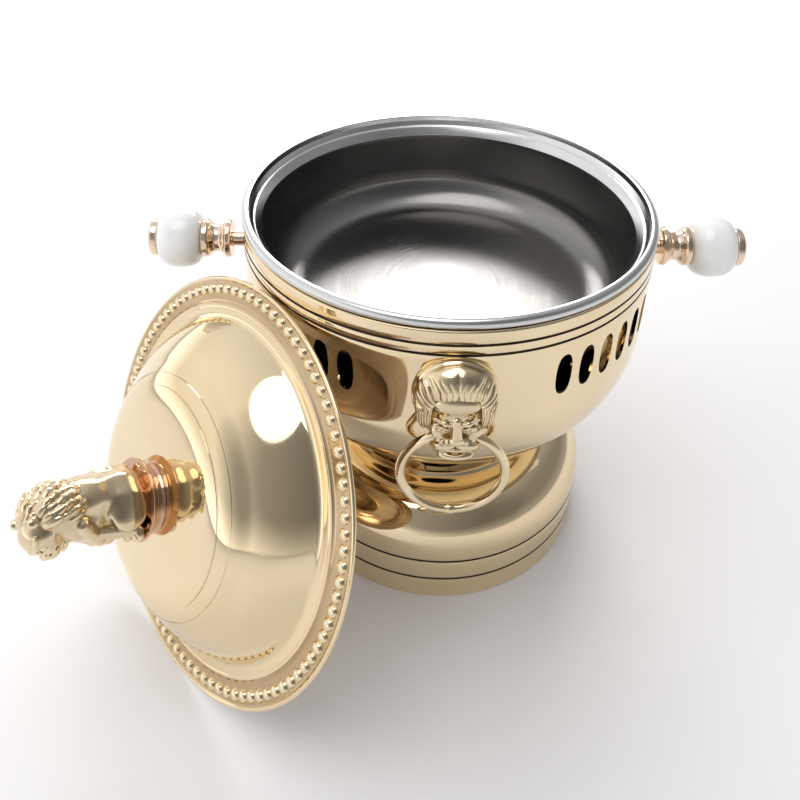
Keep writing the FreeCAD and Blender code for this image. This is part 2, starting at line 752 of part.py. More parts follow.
# Points of the dome, from the foot to the crown, one skin deep.
def dome_points(skin):
    shoulder = f"(shoulder_radius - {skin})"
    crown = f"(crown_radius - {skin})"
    steep = "(flank_slope * 1 deg)"
    gentle = "(crown_slope * 1 deg)"
    shoulder_axis = f"((crown_radius - shoulder_radius) * sin{gentle})"
    flank_top = f"({shoulder_axis} + {shoulder} * sin{steep})"
    flank_end = f"(dome_foot_radius - dome_foot_round * sin{steep} - {skin} * sin{steep})"
    fall = f"((dome_foot_radius - dome_foot_round * sin{steep} - {shoulder_axis} - shoulder_radius * sin{steep}) * tan{steep})"
    foot = f"(lid_wall + lid_step_rise + dome_foot_round * (1 - cos{steep}))"
    shoulder_level = f"({foot} + {fall} - shoulder_radius * cos{steep})"
    crown_level = f"({shoulder_level} - (crown_radius - shoulder_radius) * cos{gentle})"
    return {
        "flank_end": (flank_end, f"{foot} - {skin} * cos{steep}"),
        "flank_top": (flank_top, f"{shoulder_level} + {shoulder} * cos{steep}"),
        "crown_end": (f"({crown} * sin{gentle})", f"{crown_level} + {crown} * cos{gentle}", shoulder),
        "apex": f"({crown_level} + {crown})",
        "crown": crown,
    }


def make_lid_shell(placement):
    outer = dome_points("0")
    inner = dome_points("lid_wall")
    top = "(lid_wall + lid_step_rise)"
    hole = "finial_screw_radius + bolt_clearance"
    body = turned("lid_shell", [
        ("lid_radius - lip_radius", "0"),
        ("lid_radius", "lip_radius", "lip_radius", 1),
        ("lid_radius - lip_radius", "2 * lip_radius", "lip_radius", 1),
        ("lid_radius - 2 * lip_radius", "lid_wall"),
        ("lid_step_radius", "lid_wall"),
        ("lid_step_radius - lid_step_rise", top),
        ("dome_foot_radius", top),
        (*outer["flank_end"], "dome_foot_round", -1),
        outer["flank_top"],
        (*outer["crown_end"], 1),
        (hole, crown_height(outer, hole), outer["crown"], 1),
        (hole, crown_height(inner, hole)),
        (inner["crown_end"][0], inner["crown_end"][1], inner["crown"], -1),
        (*inner["flank_top"], inner["crown_end"][2], -1),
        inner["flank_end"],
        ("dome_foot_radius", "lid_step_rise", "dome_foot_round + lid_wall", 1),
        ("lid_step_radius - lid_step_rise - lid_wall / 2", "lid_step_rise"),
        ("lid_step_radius - lid_wall / 2", "0"),
    ])
    bead = new_sketch(body, "bead_outline")
    low = "lid_wall / 2"
    outline(bead, [("bead_circle", low), ("bead_circle + bead_radius", low),
                   ("bead_circle", f"{low} + bead_radius", "bead_radius", 1)])
    dome = body.newObject("PartDesign::Revolution", "bead")
    dome.Profile = bead
    dome.ReferenceAxis = (bead, ["Edge1"])
    dome.Angle = 360
    doc.recompute()
    body.Placement = placement
    return body


# The crown's height at a small radius from the lid's axis.
def crown_height(points, radius):
    crown = points["crown"]
    return f"{points['apex']} - {crown} + sqrt({crown} ^ 2 - ({radius}) ^ 2)"


# The row of turned-up beads round the flange.
def make_bead_row(body):
    bead = next(item for item in body.Group if item.Name == "bead")
    polar(body, [bead], "bead_row", int(value("bead_count")), 360)
    doc.recompute()


# Guardian-lion finial on a round pedestal, held by a screw from inside the
# dome. Built in the lid's frame, the lion facing its own +X before its turn.
def make_finial(placement):
    outer = dome_points("0")
    inner = dome_points("lid_wall")
    hole = "finial_screw_radius + bolt_clearance"
    top = f"({outer['apex']} + pedestal_height)"
    waist = "pedestal_height * 0.4"
    pedestal = turned("finial_pedestal", [
        (hole, crown_height(outer, hole), outer["crown"], 1),
        (hole, top),
        (f"pedestal_radius - {waist}", top),
        (f"pedestal_radius - {waist}", f"{top} - {waist}"),
        ("pedestal_radius", f"{top} - 2 * {waist}", waist, 1),
        ("pedestal_radius", crown_height(outer, "pedestal_radius")),
    ])
    pedestal.Placement = placement
    under = f"({crown_height(inner, 'finial_washer_radius')})"
    washer_low = f"({under} - washer_thickness)"
    washer = ring_piece("finial_washer", "finial_screw_radius", "finial_washer_radius", washer_low, under)
    washer.Placement = placement
    head_low = f"({washer_low} - finial_screw_head_height)"
    screw_top = f"({top} + finial_screw_grip - bolt_clearance)"
    screw = turned("finial_screw", [
        ("0", head_low),
        ("finial_screw_head - finial_screw_head_height / 2", head_low),
        ("finial_screw_head", f"{head_low} + finial_screw_head_height / 2", "finial_screw_head_height / 2", 1),
        ("finial_screw_head", washer_low),
        ("finial_screw_radius", washer_low),
        ("finial_screw_radius", screw_top),
        ("0", screw_top),
    ])
    screw.Placement = placement
    make_lion(top, placement)


def make_lion(base, placement):
    pieces = []
    facing = Placement(Vector(), Rotation(Vector(0, 0, 1), value("lion_turn")))

    def add(name, half_lengths, forward, aside, up, turn=None):
        sizes = (f"{half_lengths[0]} * lion_depth", f"{half_lengths[1]} * lion_width",
                 f"{half_lengths[2]} * lion_height")
        at = (f"{forward} * lion_depth", f"{aside} * lion_width", f"{base} + {up} * lion_height")
        pieces.append(lump("lion_" + name, sizes, at, turn))

    add("seat", (0.43, 0.5, 0.24), -0.05, 0, 0.14)
    add("back", (0.33, 0.42, 0.38), -0.08, 0, 0.36)
    add("chest", (0.25, 0.32, 0.24), 0.14, 0, 0.46)
    add("head", (0.3, 0.32, 0.17), 0.08, 0, 0.8)
    add("muzzle", (0.17, 0.19, 0.09), 0.33, 0, 0.75)
    add("crest", (0.28, 0.36, 0.19), -0.1, 0, 0.78)
    for hand, side in (("left", 1), ("right", -1)):
        add(f"{hand}_leg", (0.12, 0.13, 0.27), 0.3, side * 0.22, 0.22)
        add(f"{hand}_haunch", (0.27, 0.14, 0.18), 0, side * 0.36, 0.16)
        add(f"{hand}_curl", (0.17, 0.15, 0.13), 0.02, side * 0.3, 0.7)
        add(f"{hand}_ear", (0.06, 0.08, 0.06), 0.08, side * 0.24, 0.93)
    tapped = primitive("Cylinder", "finial_tapped_hole", {
        "Radius": "finial_screw_radius", "Height": "finial_screw_grip + pedestal_height",
    }, ("0", "0", f"{base} - pedestal_height"))
    below = primitive("Cylinder", "finial_below", {
        "Radius": "2 * lion_width", "Height": "lion_height",
    }, ("0", "0", f"{base} - lion_height"))
    whole = fused("lion_lumps", pieces)
    tools = fused("lion_cutters", [tapped, below])
    keep_as_node(cut("lion_cast", whole, tools), "lion_finial", placement.multiply(facing))


# Spirit burner: a cup with a raised bottom, a pressed cover with the flame
# mouth, and a damper plate that swings on a rivet to close it.
def make_burner():
    floor = f"({BOWL_FLOOR} + fit_gap)"
    inner = "(burner_radius - burner_wall)"
    brim = f"({floor} + burner_height)"
    cover_top = f"({brim} + cover_thickness)"
    damper_low = f"({cover_top} + damper_gap)"
    damper_top = f"({damper_low} + damper_thickness)"
    turned("burner_cup", [
        (inner, floor),
        ("burner_radius", floor),
        ("burner_radius", brim),
        (inner, brim),
        (inner, f"{floor} + burner_foot + burner_wall"),
        ("0", f"{floor} + burner_foot + burner_wall"),
        ("0", f"{floor} + burner_foot"),
        (inner, f"{floor} + burner_foot"),
    ])
    cover = turned("burner_cover", [
        ("burner_mouth_radius", brim),
        (f"{inner} - cover_thickness", brim),
        (f"{inner} - cover_thickness", f"{brim} - cover_skirt"),
        (inner, f"{brim} - cover_skirt"),
        (inner, brim),
        ("burner_radius", brim),
        ("burner_radius", cover_top),
        ("burner_mouth_radius", cover_top),
    ])
    rivet_hole = new_sketch(cover, "rivet_hole_outline", "XY_Plane")
    circle(rivet_hole, "-damper_offset", "0", "rivet_radius")
    pocket_through(cover, rivet_hole, "rivet_hole")
    rivet = turned("damper_rivet", [
        ("0", f"{brim} - rivet_head_height"),
        ("rivet_head_radius", f"{brim} - rivet_head_height"),
        ("rivet_head_radius", brim),
        ("rivet_radius", brim),
        ("rivet_radius", f"{damper_top} + damper_gap"),
        ("rivet_head_radius", f"{damper_top} + damper_gap"),
        ("rivet_head_radius", f"{damper_top} + damper_gap + rivet_head_height"),
        ("0", f"{damper_top} + damper_gap + rivet_head_height"),
    ])
    rivet.Placement = Placement(Vector(-value("damper_offset"), 0, 0), Rotation())
    damper = new_body("damper_plate")
    disc = new_sketch(damper, "damper_disc_outline", "XY_Plane")
    circle(disc, "0", "0", "damper_radius")
    lift_and_pad(damper, disc, damper_low, "damper_thickness")
    strip = new_sketch(damper, "damper_strip_outline", "XY_Plane")
    end = "damper_tab_width / 2"
    far = "(damper_radius + damper_tab_length)"
    outline(strip, [(f"{far} + {end}", "0", end, 1), (far, end, end, 1), ("-damper_offset", end),
                    (f"-damper_offset - {end}", "0", end, 1), ("-damper_offset", f"-{end}", end, 1),
                    (far, f"-{end}")])
    strip.setExpression("AttachmentOffset.Base.z", bound(damper_low))
    tab = damper.newObject("PartDesign::Pad", "damper_strip")
    tab.Profile = strip
    tab.setExpression("Length", bound("damper_thickness"))
    pivot = new_sketch(damper, "damper_pivot_outline", "XY_Plane")
    circle(pivot, "-damper_offset", "0", "rivet_radius + bolt_clearance / 2")
    doc.recompute()
    pocket_through(damper, pivot, "damper_pivot")


# Stop on any object that failed, or any node without one whole valid shape.
def check_model():
    failed = [item.Name for item in doc.Objects if {"Invalid", "Error"} & set(item.State)]
    if failed:
        raise RuntimeError(f"failed objects: {failed}")
    for node in nodes:
        if node.Shape.isNull() or not node.Shape.isValid() or not node.Shape.Solids:
            raise RuntimeError(f"{node.Label} has no valid solid")


def main():
    make_base()
    make_neck()
    make_bowl()
    make_tie()
    make_pot()
    make_handle("right", 0)
    make_handle("left", 180)
    front_head = make_lion_head("front", make_mask("front", -90))
    make_mask("rear", 90)
    rear_head = doc.addObject("Part::Mirroring", "rear_lion_cast")
    rear_head.Source = front_head
    rear_head.Normal = Vector(0, 1, 0)
    keep_as_node(rear_head, "rear_lion_mask", Placement())
    lid = lid_placement()
    shell = make_lid_shell(lid)
    make_bead_row(shell)
    make_finial(lid)
    make_burner()
    doc.recompute()
    check_model()
    os.makedirs("parts", exist_ok=True)
    for node in nodes:
        node.Shape.exportStep(f"parts/{node.Label}.step")
        box = node.Shape.BoundBox
        print(f"{node.Label}: {len(node.Shape.Solids)} solid, {node.Shape.Volume / 1000:.2f} cm3, "
              f"x {box.XMin:.1f}..{box.XMax:.1f} y {box.YMin:.1f}..{box.YMax:.1f} "
              f"z {box.ZMin:.1f}..{box.ZMax:.1f}")


main()
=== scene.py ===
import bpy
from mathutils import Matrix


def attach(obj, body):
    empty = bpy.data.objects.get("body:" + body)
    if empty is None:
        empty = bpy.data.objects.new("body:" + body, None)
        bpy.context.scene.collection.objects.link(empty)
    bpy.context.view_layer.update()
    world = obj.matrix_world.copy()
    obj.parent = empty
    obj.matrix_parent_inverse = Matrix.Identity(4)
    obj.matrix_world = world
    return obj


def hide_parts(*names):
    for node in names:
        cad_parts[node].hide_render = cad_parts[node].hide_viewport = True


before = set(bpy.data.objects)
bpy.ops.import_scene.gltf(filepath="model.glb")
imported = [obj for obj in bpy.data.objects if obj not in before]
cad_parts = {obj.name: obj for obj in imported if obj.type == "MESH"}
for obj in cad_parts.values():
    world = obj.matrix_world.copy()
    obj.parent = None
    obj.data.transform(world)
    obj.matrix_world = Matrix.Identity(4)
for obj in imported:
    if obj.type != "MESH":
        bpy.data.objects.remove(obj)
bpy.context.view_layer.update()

import math

import bpy
import numpy as np
from mathutils import Matrix, Vector
from mathutils.geometry import delaunay_2d_cdt

# Everything below is built in millimetres and shrunk to metres as it is made.
MM = 0.001

# Heights and radii that the pieces share, as in the solid model.
BASE_R, BASE_H, SHOULDER = 81.5, 57.0, 24.5
WALL = 1.2
PLATEAU = 59.0
BOWL_BASE, BOWL_R, BOWL_ROUND = 78.0, 99.8, 62.0
SPRING = BOWL_BASE + BOWL_ROUND
MOUTH = 187.2
RIM_TOP = 192.3
HANDLE_Z = 165.5
MASK_Z = 156.2
PLATE_FACE = 103.4
RING_OUT = 107.8
PIVOT_Z = 141.7
RING_R, WIRE_R = 22.0, 2.1
SWING = (math.radians(-22), math.radians(100))
BOLT_HOLE_R = 3.4

# Heights of the turned lines on the foot and under the mouth.
BASE_LINES = (14.0, 27.0)
MOUTH_LINES = (MOUTH - 11.7, MOUTH - 6.7)


# Materials


def shader(name, metallic, roughness, colour, **constant):
    """A principled material with its constants on the shader's own sockets."""
    material = bpy.data.materials.new(name)
    material.use_nodes = True
    tree = material.node_tree
    bsdf = tree.nodes["Principled BSDF"]
    bsdf.inputs["Metallic"].default_value = metallic
    bsdf.inputs["Roughness"].default_value = roughness
    bsdf.inputs["Base Color"].default_value = (*colour, 1)
    for socket, number in constant.items():
        bsdf.inputs[socket.replace("_", " ")].default_value = number
    return material, tree, bsdf


def add(tree, kind, **settings):
    node = tree.nodes.new(kind)
    for key, number in settings.items():
        if key in node.inputs:
            node.inputs[key].default_value = number
        else:
            setattr(node, key, number)
    return node


def object_space(tree, place=None):
    """Coordinates on the piece, or in the leaning frame that its lathe axis has."""
    coords = add(tree, "ShaderNodeTexCoord")
    mapping = add(tree, "ShaderNodeMapping", vector_type="TEXTURE")
    if place is not None:
        mapping.inputs["Location"].default_value = place.to_translation()
        mapping.inputs["Rotation"].default_value = place.to_euler()
    tree.links.new(coords.outputs["Object"], mapping.inputs["Vector"])
    return mapping.outputs["Vector"]


def turned_space(tree, place=None):
    """Radius from the lathe axis and height along it, so that noise makes fine rings."""
    split = add(tree, "ShaderNodeSeparateXYZ")
    tree.links.new(object_space(tree, place), split.inputs[0])
    flat = add(tree, "ShaderNodeCombineXYZ")
    for letter in "XY":
        tree.links.new(split.outputs[letter], flat.inputs[letter])
    length = add(tree, "ShaderNodeVectorMath", operation="LENGTH")
    tree.links.new(flat.outputs[0], length.inputs[0])
    joined = add(tree, "ShaderNodeCombineXYZ")
    tree.links.new(length.outputs["Value"], joined.inputs["X"])
    tree.links.new(split.outputs["Z"], joined.inputs["Y"])
    return joined.outputs[0]


def noise(tree, vector, scale, detail=3.0, rough=0.5):
    node = add(tree, "ShaderNodeTexNoise", Scale=scale, Detail=detail, Roughness=rough)
    tree.links.new(vector, node.inputs["Vector"])
    return node.outputs["Fac"]


def remap(tree, value, low_in, high_in, low_out, high_out):
    node = add(tree, "ShaderNodeMapRange")
    for socket, number in zip(("From Min", "From Max", "To Min", "To Max"),
                              (low_in, high_in, low_out, high_out)):
        node.inputs[socket].default_value = number
    tree.links.new(value, node.inputs["Value"])
    return node.outputs["Result"]


def tint(tree, bsdf, mask, low, high, first, second):
    """Base colour that drifts from first to second as the mask goes from low to high."""
    mix = add(tree, "ShaderNodeMix", data_type="RGBA")
    colours = [socket for socket in mix.inputs if socket.type == "RGBA"]
    for socket, colour in zip(colours, (first, second)):
        socket.default_value = (*colour, 1)
    tree.links.new(remap(tree, mask, low, high, 0, 1), mix.inputs["Factor"])
    tree.links.new(next(out for out in mix.outputs if out.type == "RGBA"), bsdf.inputs["Base Color"])


def roughen(tree, bsdf, fine, share, base):
    """Roughness from a base and a share of a fine noise on top."""
    node = add(tree, "ShaderNodeMath", operation="MULTIPLY_ADD")
    tree.links.new(fine, node.inputs[0])
    node.inputs[1].default_value = share
    tree.links.new(base, node.inputs[2])
    tree.links.new(node.outputs[0], bsdf.inputs["Roughness"])


def bump(tree, bsdf, height, strength, distance, before=None):
    node = add(tree, "ShaderNodeBump", Strength=strength, Distance=distance)
    tree.links.new(height, node.inputs["Height"])
    if before is not None:
        tree.links.new(before, node.inputs["Normal"])
    tree.links.new(node.outputs["Normal"], bsdf.inputs["Normal"])
    return node.outputs["Normal"]


def polished(name, colour, deep, rings=False, rough=(0.035, 0.11), ripple=0.03, place=None):
    """Mirror-polished metal: slight tone drift, buffing haze and a faint hand-spun ripple."""
    material, tree, bsdf = shader(name, 1.0, rough[0], colour)
    space = object_space(tree, place)
    tint(tree, bsdf, noise(tree, space, 18, 4), 0.35, 0.7, colour, deep)
    haze = noise(tree, space, 55, 5, 0.6)
    tree.links.new(remap(tree, haze, 0.35, 0.75, rough[0], rough[1]), bsdf.inputs["Roughness"])
    normal = bump(tree, bsdf, noise(tree, space, 24, 2), ripple, 0.002)
    if rings:
        lines = noise(tree, turned_space(tree, place), 900, 2, 0.7)
        bump(tree, bsdf, lines, 0.05, 0.0001, normal)
    return material


GOLD = (0.87, 0.725, 0.49)
GOLD_DEEP = (0.83, 0.67, 0.425)
ROSE = (0.88, 0.71, 0.57)
ROSE_DEEP = (0.82, 0.62, 0.46)

brass_spun = polished("brass_spun", GOLD, GOLD_DEEP, True)
brass_plain = polished("brass_plain", GOLD, GOLD_DEEP)
brass_rose = polished("brass_rose", ROSE, ROSE_DEEP, True, (0.05, 0.14))


def cast_brass(name, colour, deep):
    """Cast and buffed brass: bright on the ridges, and brown in the hollows as painted shade, found by
    pointiness.
    """
    material, tree, bsdf = shader(name, 1.0, 0.12, colour)
    pointed = add(tree, "ShaderNodeNewGeometry").outputs["Pointiness"]
    # Painted shade: where pointiness is low, in the hollows, the colour goes to the dark brown given as deep.
    tint(tree, bsdf, pointed, 0.43, 0.52, deep, colour)
    space = object_space(tree)
    roughen(tree, bsdf, noise(tree, space, 240, 4, 0.6), 0.14, remap(tree, pointed, 0.43, 0.53, 0.26, 0.03))
    bump(tree, bsdf, noise(tree, space, 700, 3), 0.12, 0.0002)
    return material


# The dark brown here is painted shade in the hollows of the cast heads, beads and lion.
brass_cast_painted_shade = cast_brass("brass_cast_painted_shade", GOLD, (0.30, 0.185, 0.075))


def patina():
    """Blackened line at the bottom of a turned groove."""
    material, tree, bsdf = shader("groove_patina", 0.6, 0.5, (0.05, 0.035, 0.02))
    mottled = noise(tree, object_space(tree), 160, 4)
    tint(tree, bsdf, mottled, 0.35, 0.7, (0.03, 0.022, 0.014), (0.10, 0.065, 0.03))
    return material


groove_dark = patina()


def brushed(name, colour, rough, fine=1400, strength=0.35, aniso=0.55):
    """Steel brushed round its axis: fine rings in height, gloss and tone."""
    material, tree, bsdf = shader(name, 1.0, rough, colour, Anisotropic=aniso)
    rings = turned_space(tree)
    lines = noise(tree, rings, fine, 3, 0.75)
    broad = noise(tree, rings, fine / 9, 3, 0.6)
    spots = noise(tree, object_space(tree), 30, 4)
    darker = tuple(0.86 * part for part in colour)
    tint(tree, bsdf, broad, 0.3, 0.7, darker, colour)
    roughen(tree, bsdf, lines, 0.12, remap(tree, spots, 0.3, 0.7, rough - 0.09, rough - 0.02))
    tangent = add(tree, "ShaderNodeTangent", direction_type="RADIAL", axis="Z")
    tree.links.new(tangent.outputs[0], bsdf.inputs["Tangent"])
    bump(tree, bsdf, lines, strength, 0.00006)
    return material


# Painted shade: the inner pot's steel colour is darkened to 0.27 for the dark reflections in its walls; the
# rim uses the lighter steel.
steel_pot_painted_shade = brushed("steel_pot_painted_shade", (0.27, 0.262, 0.25), 0.23)
steel_rim = brushed("steel_rim", (0.76, 0.775, 0.77), 0.2, 1100, 0.2, 0.3)
steel_plain = brushed("steel_plain", (0.55, 0.55, 0.54), 0.3, 900, 0.3, 0.2)


def porcelain():
    """White glaze over a slightly wavy body."""
    material, tree, bsdf = shader("porcelain_glaze", 0.0, 0.08, (0.90, 0.915, 0.905),
                                  Coat_Weight=0.6, Coat_Roughness=0.03)
    space = object_space(tree)
    tint(tree, bsdf, noise(tree, space, 70, 3), 0.35, 0.65, (0.88, 0.90, 0.89), (0.93, 0.94, 0.93))
    tree.links.new(remap(tree, noise(tree, space, 300, 3), 0.3, 0.7, 0.05, 0.12), bsdf.inputs["Roughness"])
    bump(tree, bsdf, noise(tree, space, 120, 2), 0.06, 0.001)
    return material


glaze = porcelain()


# Meshes


def make_object(name, points, faces, materials, face_slots=None, sharp=None, normals=None, place=None):
    """A mesh object from millimetre points. sharp is a set of vertex pairs; normals
    gives a normal per corner of each face, or None where it is worked out."""
    mesh = bpy.data.meshes.new(name)
    mesh.from_pydata([tuple(co * MM for co in point) for point in points], [], faces)
    for material in materials:
        mesh.materials.append(material)
    if face_slots is not None:
        mesh.polygons.foreach_set("material_index", np.asarray(face_slots, dtype=np.int32))
    mesh.polygons.foreach_set("use_smooth", np.ones(len(mesh.polygons), dtype=bool))
    mesh.update()
    if sharp:
        flags = [tuple(sorted(edge.vertices)) in sharp for edge in mesh.edges]
        mesh.attributes.new("sharp_edge", "BOOLEAN", "EDGE").data.foreach_set("value", flags)
    if normals is not None:
        corners = []
        for polygon, given in zip(mesh.polygons, normals):
            for corner in range(polygon.loop_total):
                corners.append(given[corner] if given is not None else (0, 0, 0))
        mesh.normals_split_custom_set(corners)
    piece = bpy.data.objects.new(name, mesh)
    bpy.context.scene.collection.objects.link(piece)
    if place is not None:
        piece.matrix_world = place
    return piece


def settle(piece):
    """Puts a leaning piece's place into its mesh, so that its box stays tight."""
    piece.data.transform(piece.matrix_world)
    piece.matrix_world = Matrix.Identity(4)
    return piece


def hand_over(piece, body, slot, *nodes):
    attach(piece, body)
    if nodes:
        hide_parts(*nodes)
    return piece


def arc(centre, radius, start, end, count):
    angles = np.radians(np.linspace(start, end, count + 1))
    return [(centre[0] + radius * math.cos(a), centre[1] + radius * math.sin(a)) for a in angles]


def rounded(corners, closed=False):
    """A profile from corners (r, z) or (r, z, fillet): every given fillet becomes an arc."""
    path = []
    total = len(corners)
    for number, corner in enumerate(corners):
        here = np.array(corner[:2], float)
        ends = (number == 0 or number == total - 1) and not closed
        if len(corner) == 2 or ends:
            path.append(tuple(here))
            continue
        before = np.array(corners[number - 1][:2], float) - here
        after = np.array(corners[(number + 1) % total][:2], float) - here
        a, b = before / np.linalg.norm(before), after / np.linalg.norm(after)
        half = math.acos(max(-1, min(1, float(a @ b)))) / 2
        reach = min(corner[2] / math.tan(half), 0.49 * np.linalg.norm(before), 0.49 * np.linalg.norm(after))
        radius = reach * math.tan(half)
        centre = here + (a + b) / np.linalg.norm(a + b) * radius / math.sin(half)
        start, end = here + a * reach - centre, here + b * reach - centre
        first = math.atan2(start[1], start[0])
        turn = (math.atan2(end[1], end[0]) - first + math.pi) % (2 * math.pi) - math.pi
        steps = max(3, int(abs(turn) / math.radians(9)))
        for step in range(steps + 1):
            angle = first + turn * step / steps
            path.append((centre[0] + radius * math.cos(angle), centre[1] + radius * math.sin(angle)))
    return path


def densify(path, longest):
    """Long straight runs get points between, so that shading stays even."""
    out = [path[0]]
    for before, after in zip(path, path[1:]):
        count = max(1, math.ceil(math.dist(before, after) / longest))
        for step in range(1, count + 1):
            out.append(tuple(b + (a - b) * step / count for b, a in zip(before, after)))
    return out


def lathe(name, path, materials, segments=256, closed=False, slot_of=None, crease=24, place=None):
    """Turns a profile of (radius, height) about the local Z axis."""
    path = [path[0]] + [p for q, p in zip(path, path[1:]) if math.dist(p, q) > 1e-4]
    if closed and math.dist(path[0], path[-1]) < 1e-4:
        path = path[:-1]
    points, rings = [], []
    for radius, height in path:
        if radius < 1e-6:
            rings.append([len(points)])
            points.append((0, 0, height))
            continue
        rings.append(list(range(len(points), len(points) + segments)))
        for number in range(segments):
            angle = 2 * math.pi * number / segments
            points.append((radius * math.cos(angle), radius * math.sin(angle), height))
    faces, slots, sharp = [], [], set()
    spans = len(path) if closed else len(path) - 1
    for span in range(spans):
        a, b = rings[span], rings[(span + 1) % len(path)]
        slot = slot_of(path[span], path[(span + 1) % len(path)]) if slot_of else 0
        for number in range(segments):
            following = (number + 1) % segments
            if len(a) == 1 and len(b) == 1:
                continue
            if len(a) == 1:
                faces.append((a[0], b[following], b[number]))
            elif len(b) == 1:
                faces.append((a[number], a[following], b[0]))
            else:
                faces.append((a[number], a[following], b[following], b[number]))
            slots.append(slot)
    for number in range(len(path)):
        if not closed and number in (0, len(path) - 1):
            continue
        before = np.subtract(path[number], path[number - 1])
        after = np.subtract(path[(number + 1) % len(path)], path[number])
        turn = abs((math.atan2(after[1], after[0]) - math.atan2(before[1], before[0]) + math.pi)
                   % (2 * math.pi) - math.pi)
        ring = rings[number]
        if math.degrees(turn) > crease and len(ring) > 1:
            for corner in range(segments):
                sharp.add(tuple(sorted((ring[corner], ring[(corner + 1) % segments]))))
    return make_object(name, points, faces, materials, slots, sharp, place=place)


def flip_if_inside_out(piece):
    """Makes a closed mesh's faces point outwards."""
    mesh = piece.data
    volume = 0.0
    for polygon in mesh.polygons:
        corners = [mesh.vertices[i].co for i in polygon.vertices]
        for second, third in zip(corners[1:], corners[2:]):
            volume += corners[0].dot(second.cross(third))
    if volume < 0:
        mesh.flip_normals()
    return piece


def holed_sheet(region, holes, inner_points, outer_map, inner_map, skip):
    """A two-skinned sheet with holes through it. region and holes are loops of plane
    points; outer_map and inner_map give (point, normal) in space for a plane point, and
    skip says where the sheet's edge stays open."""
    points, edges = [], []

    def loop(path):
        first = len(points)
        points.extend(path)
        count = len(path)
        edges.extend((first + i, first + (i + 1) % count) for i in range(count))

    loop(region)
    for hole in holes:
        loop(hole)
    points.extend(inner_points)
    plane, _, triangles, *_ = delaunay_2d_cdt([Vector(p) for p in points], edges, [], 0, 1e-5)

    def inside(path, point):
        odd = False
        for (ax, ay), (bx, by) in zip(path, path[1:] + path[:1]):
            if (ay > point[1]) != (by > point[1]) and point[0] < (bx - ax) * (point[1] - ay) / (by - ay) + ax:
                odd = not odd
        return odd

    kept = []
    for triangle in triangles:
        centre = [sum(plane[i][axis] for i in triangle) / 3 for axis in (0, 1)]
        if inside(region, centre) and not any(inside(hole, centre) for hole in holes):
            kept.append(tuple(triangle))
    count = len(plane)
    space, normals, faces, sharp = [], [], [], set()
    outer = [outer_map(p) for p in plane]
    inner = [inner_map(p) for p in plane]
    space.extend(point for point, _ in outer)
    space.extend(point for point, _ in inner)
    for a, b, c in kept:
        faces.append((a, b, c))
        normals.append([outer[i][1] for i in (a, b, c)])
        faces.append((a + count, c + count, b + count))
        normals.append([inner[i][1] for i in (a, c, b)])
    sides = [pair for triangle in kept for pair in zip(triangle, triangle[1:] + triangle[:1])]
    known = set(sides)
    for i, j in sides:
        if (j, i) in known:
            continue
        if skip([(plane[i][axis] + plane[j][axis]) / 2 for axis in (0, 1)]):
            continue
        faces.append((j, i, i + count, j + count))
        normals.append(None)
        sharp.add(tuple(sorted((i, j))))
        sharp.add(tuple(sorted((i + count, j + count))))
    return space, faces, normals, sharp


def gather(parts):
    """Joins several (points, faces, normals, sharp) sets into one."""
    space, faces, normals, sharp = [], [], [], set()
    for part_points, part_faces, part_normals, part_sharp in parts:
        first = len(space)
        space.extend(part_points)
        faces.extend(tuple(i + first for i in face) for face in part_faces)
        normals.extend(part_normals)
        sharp |= {(a + first, b + first) for a, b in part_sharp}
    return space, faces, normals, sharp


def turn_part(part, degrees):
    c, s = math.cos(math.radians(degrees)), math.sin(math.radians(degrees))

    def spun(v):
        return (v[0] * c - v[1] * s, v[0] * s + v[1] * c, v[2])

    points, faces, normals, sharp = part
    turned_normals = [None if n is None else [spun(v) for v in n] for n in normals]
    return [spun(p) for p in points], faces, turned_normals, sharp


def oval(centre, width, height, count=44):
    """A long oval loop whose sides bow a little and whose ends come close to a point."""
    path = []
    for step in range(count):
        angle = 2 * math.pi * step / count
        c, d = math.cos(angle), math.sin(angle)
        path.append((centre[0] + width / 2 * math.copysign(abs(c) ** 0.82, c),
                     centre[1] + height / 2 * math.copysign(abs(d) ** 0.82, d)))
    return path


def slotted_band(radius, low_z, high_z, holes, repeats, per_degree=1.0):
    """A cylinder wall between two heights with holes, made as one sector and repeated."""
    span = 360 / repeats
    columns = int(span * per_degree)
    widths = [span * (i / columns - 0.5) for i in range(columns + 1)]
    heights = list(np.linspace(low_z, high_z, max(3, int((high_z - low_z) / 3.5)) + 1))
    region = [(a, low_z) for a in widths] + [(widths[-1], z) for z in heights[1:-1]]
    region += [(a, high_z) for a in reversed(widths)] + [(widths[0], z) for z in reversed(heights[1:-1])]
    loops = []
    for angle, z, width, height in holes:
        loops.append([(angle + math.degrees(math.asin(max(-1, min(1, x / radius)))), y)
                      for x, y in oval((0, z), width, height)])

    def clear(a, z):
        return all(math.hypot((a - angle) * math.radians(1) * radius / (width / 2 + 0.7),
                              (z - level) / (height / 2 + 0.7)) > 1.05
                   for angle, level, width, height in holes)

    near = [(a, z) for a in widths[1:-1] for z in heights[1:-1] if clear(a, z)]

    def skin(offset, sign):
        def at(point):
            angle = math.radians(point[0])
            direction = (math.cos(angle), math.sin(angle))
            return ((direction[0] * (radius - offset), direction[1] * (radius - offset), point[1]),
                    (sign * direction[0], sign * direction[1], 0))
        return at

    def border(middle):
        return abs(middle[0]) > span / 2 - 1e-3 or middle[1] < low_z + 1e-3 or middle[1] > high_z - 1e-3

    sector = holed_sheet(region, loops, near, skin(0, 1), skin(WALL, -1), border)
    return gather([turn_part(sector, span * number) for number in range(repeats)])


def sheet(name, part, material):
    """A mesh object from a holed sheet."""
    points, faces, normals, sharp = part
    return make_object(name, points, faces, [material], None, sharp, normals)


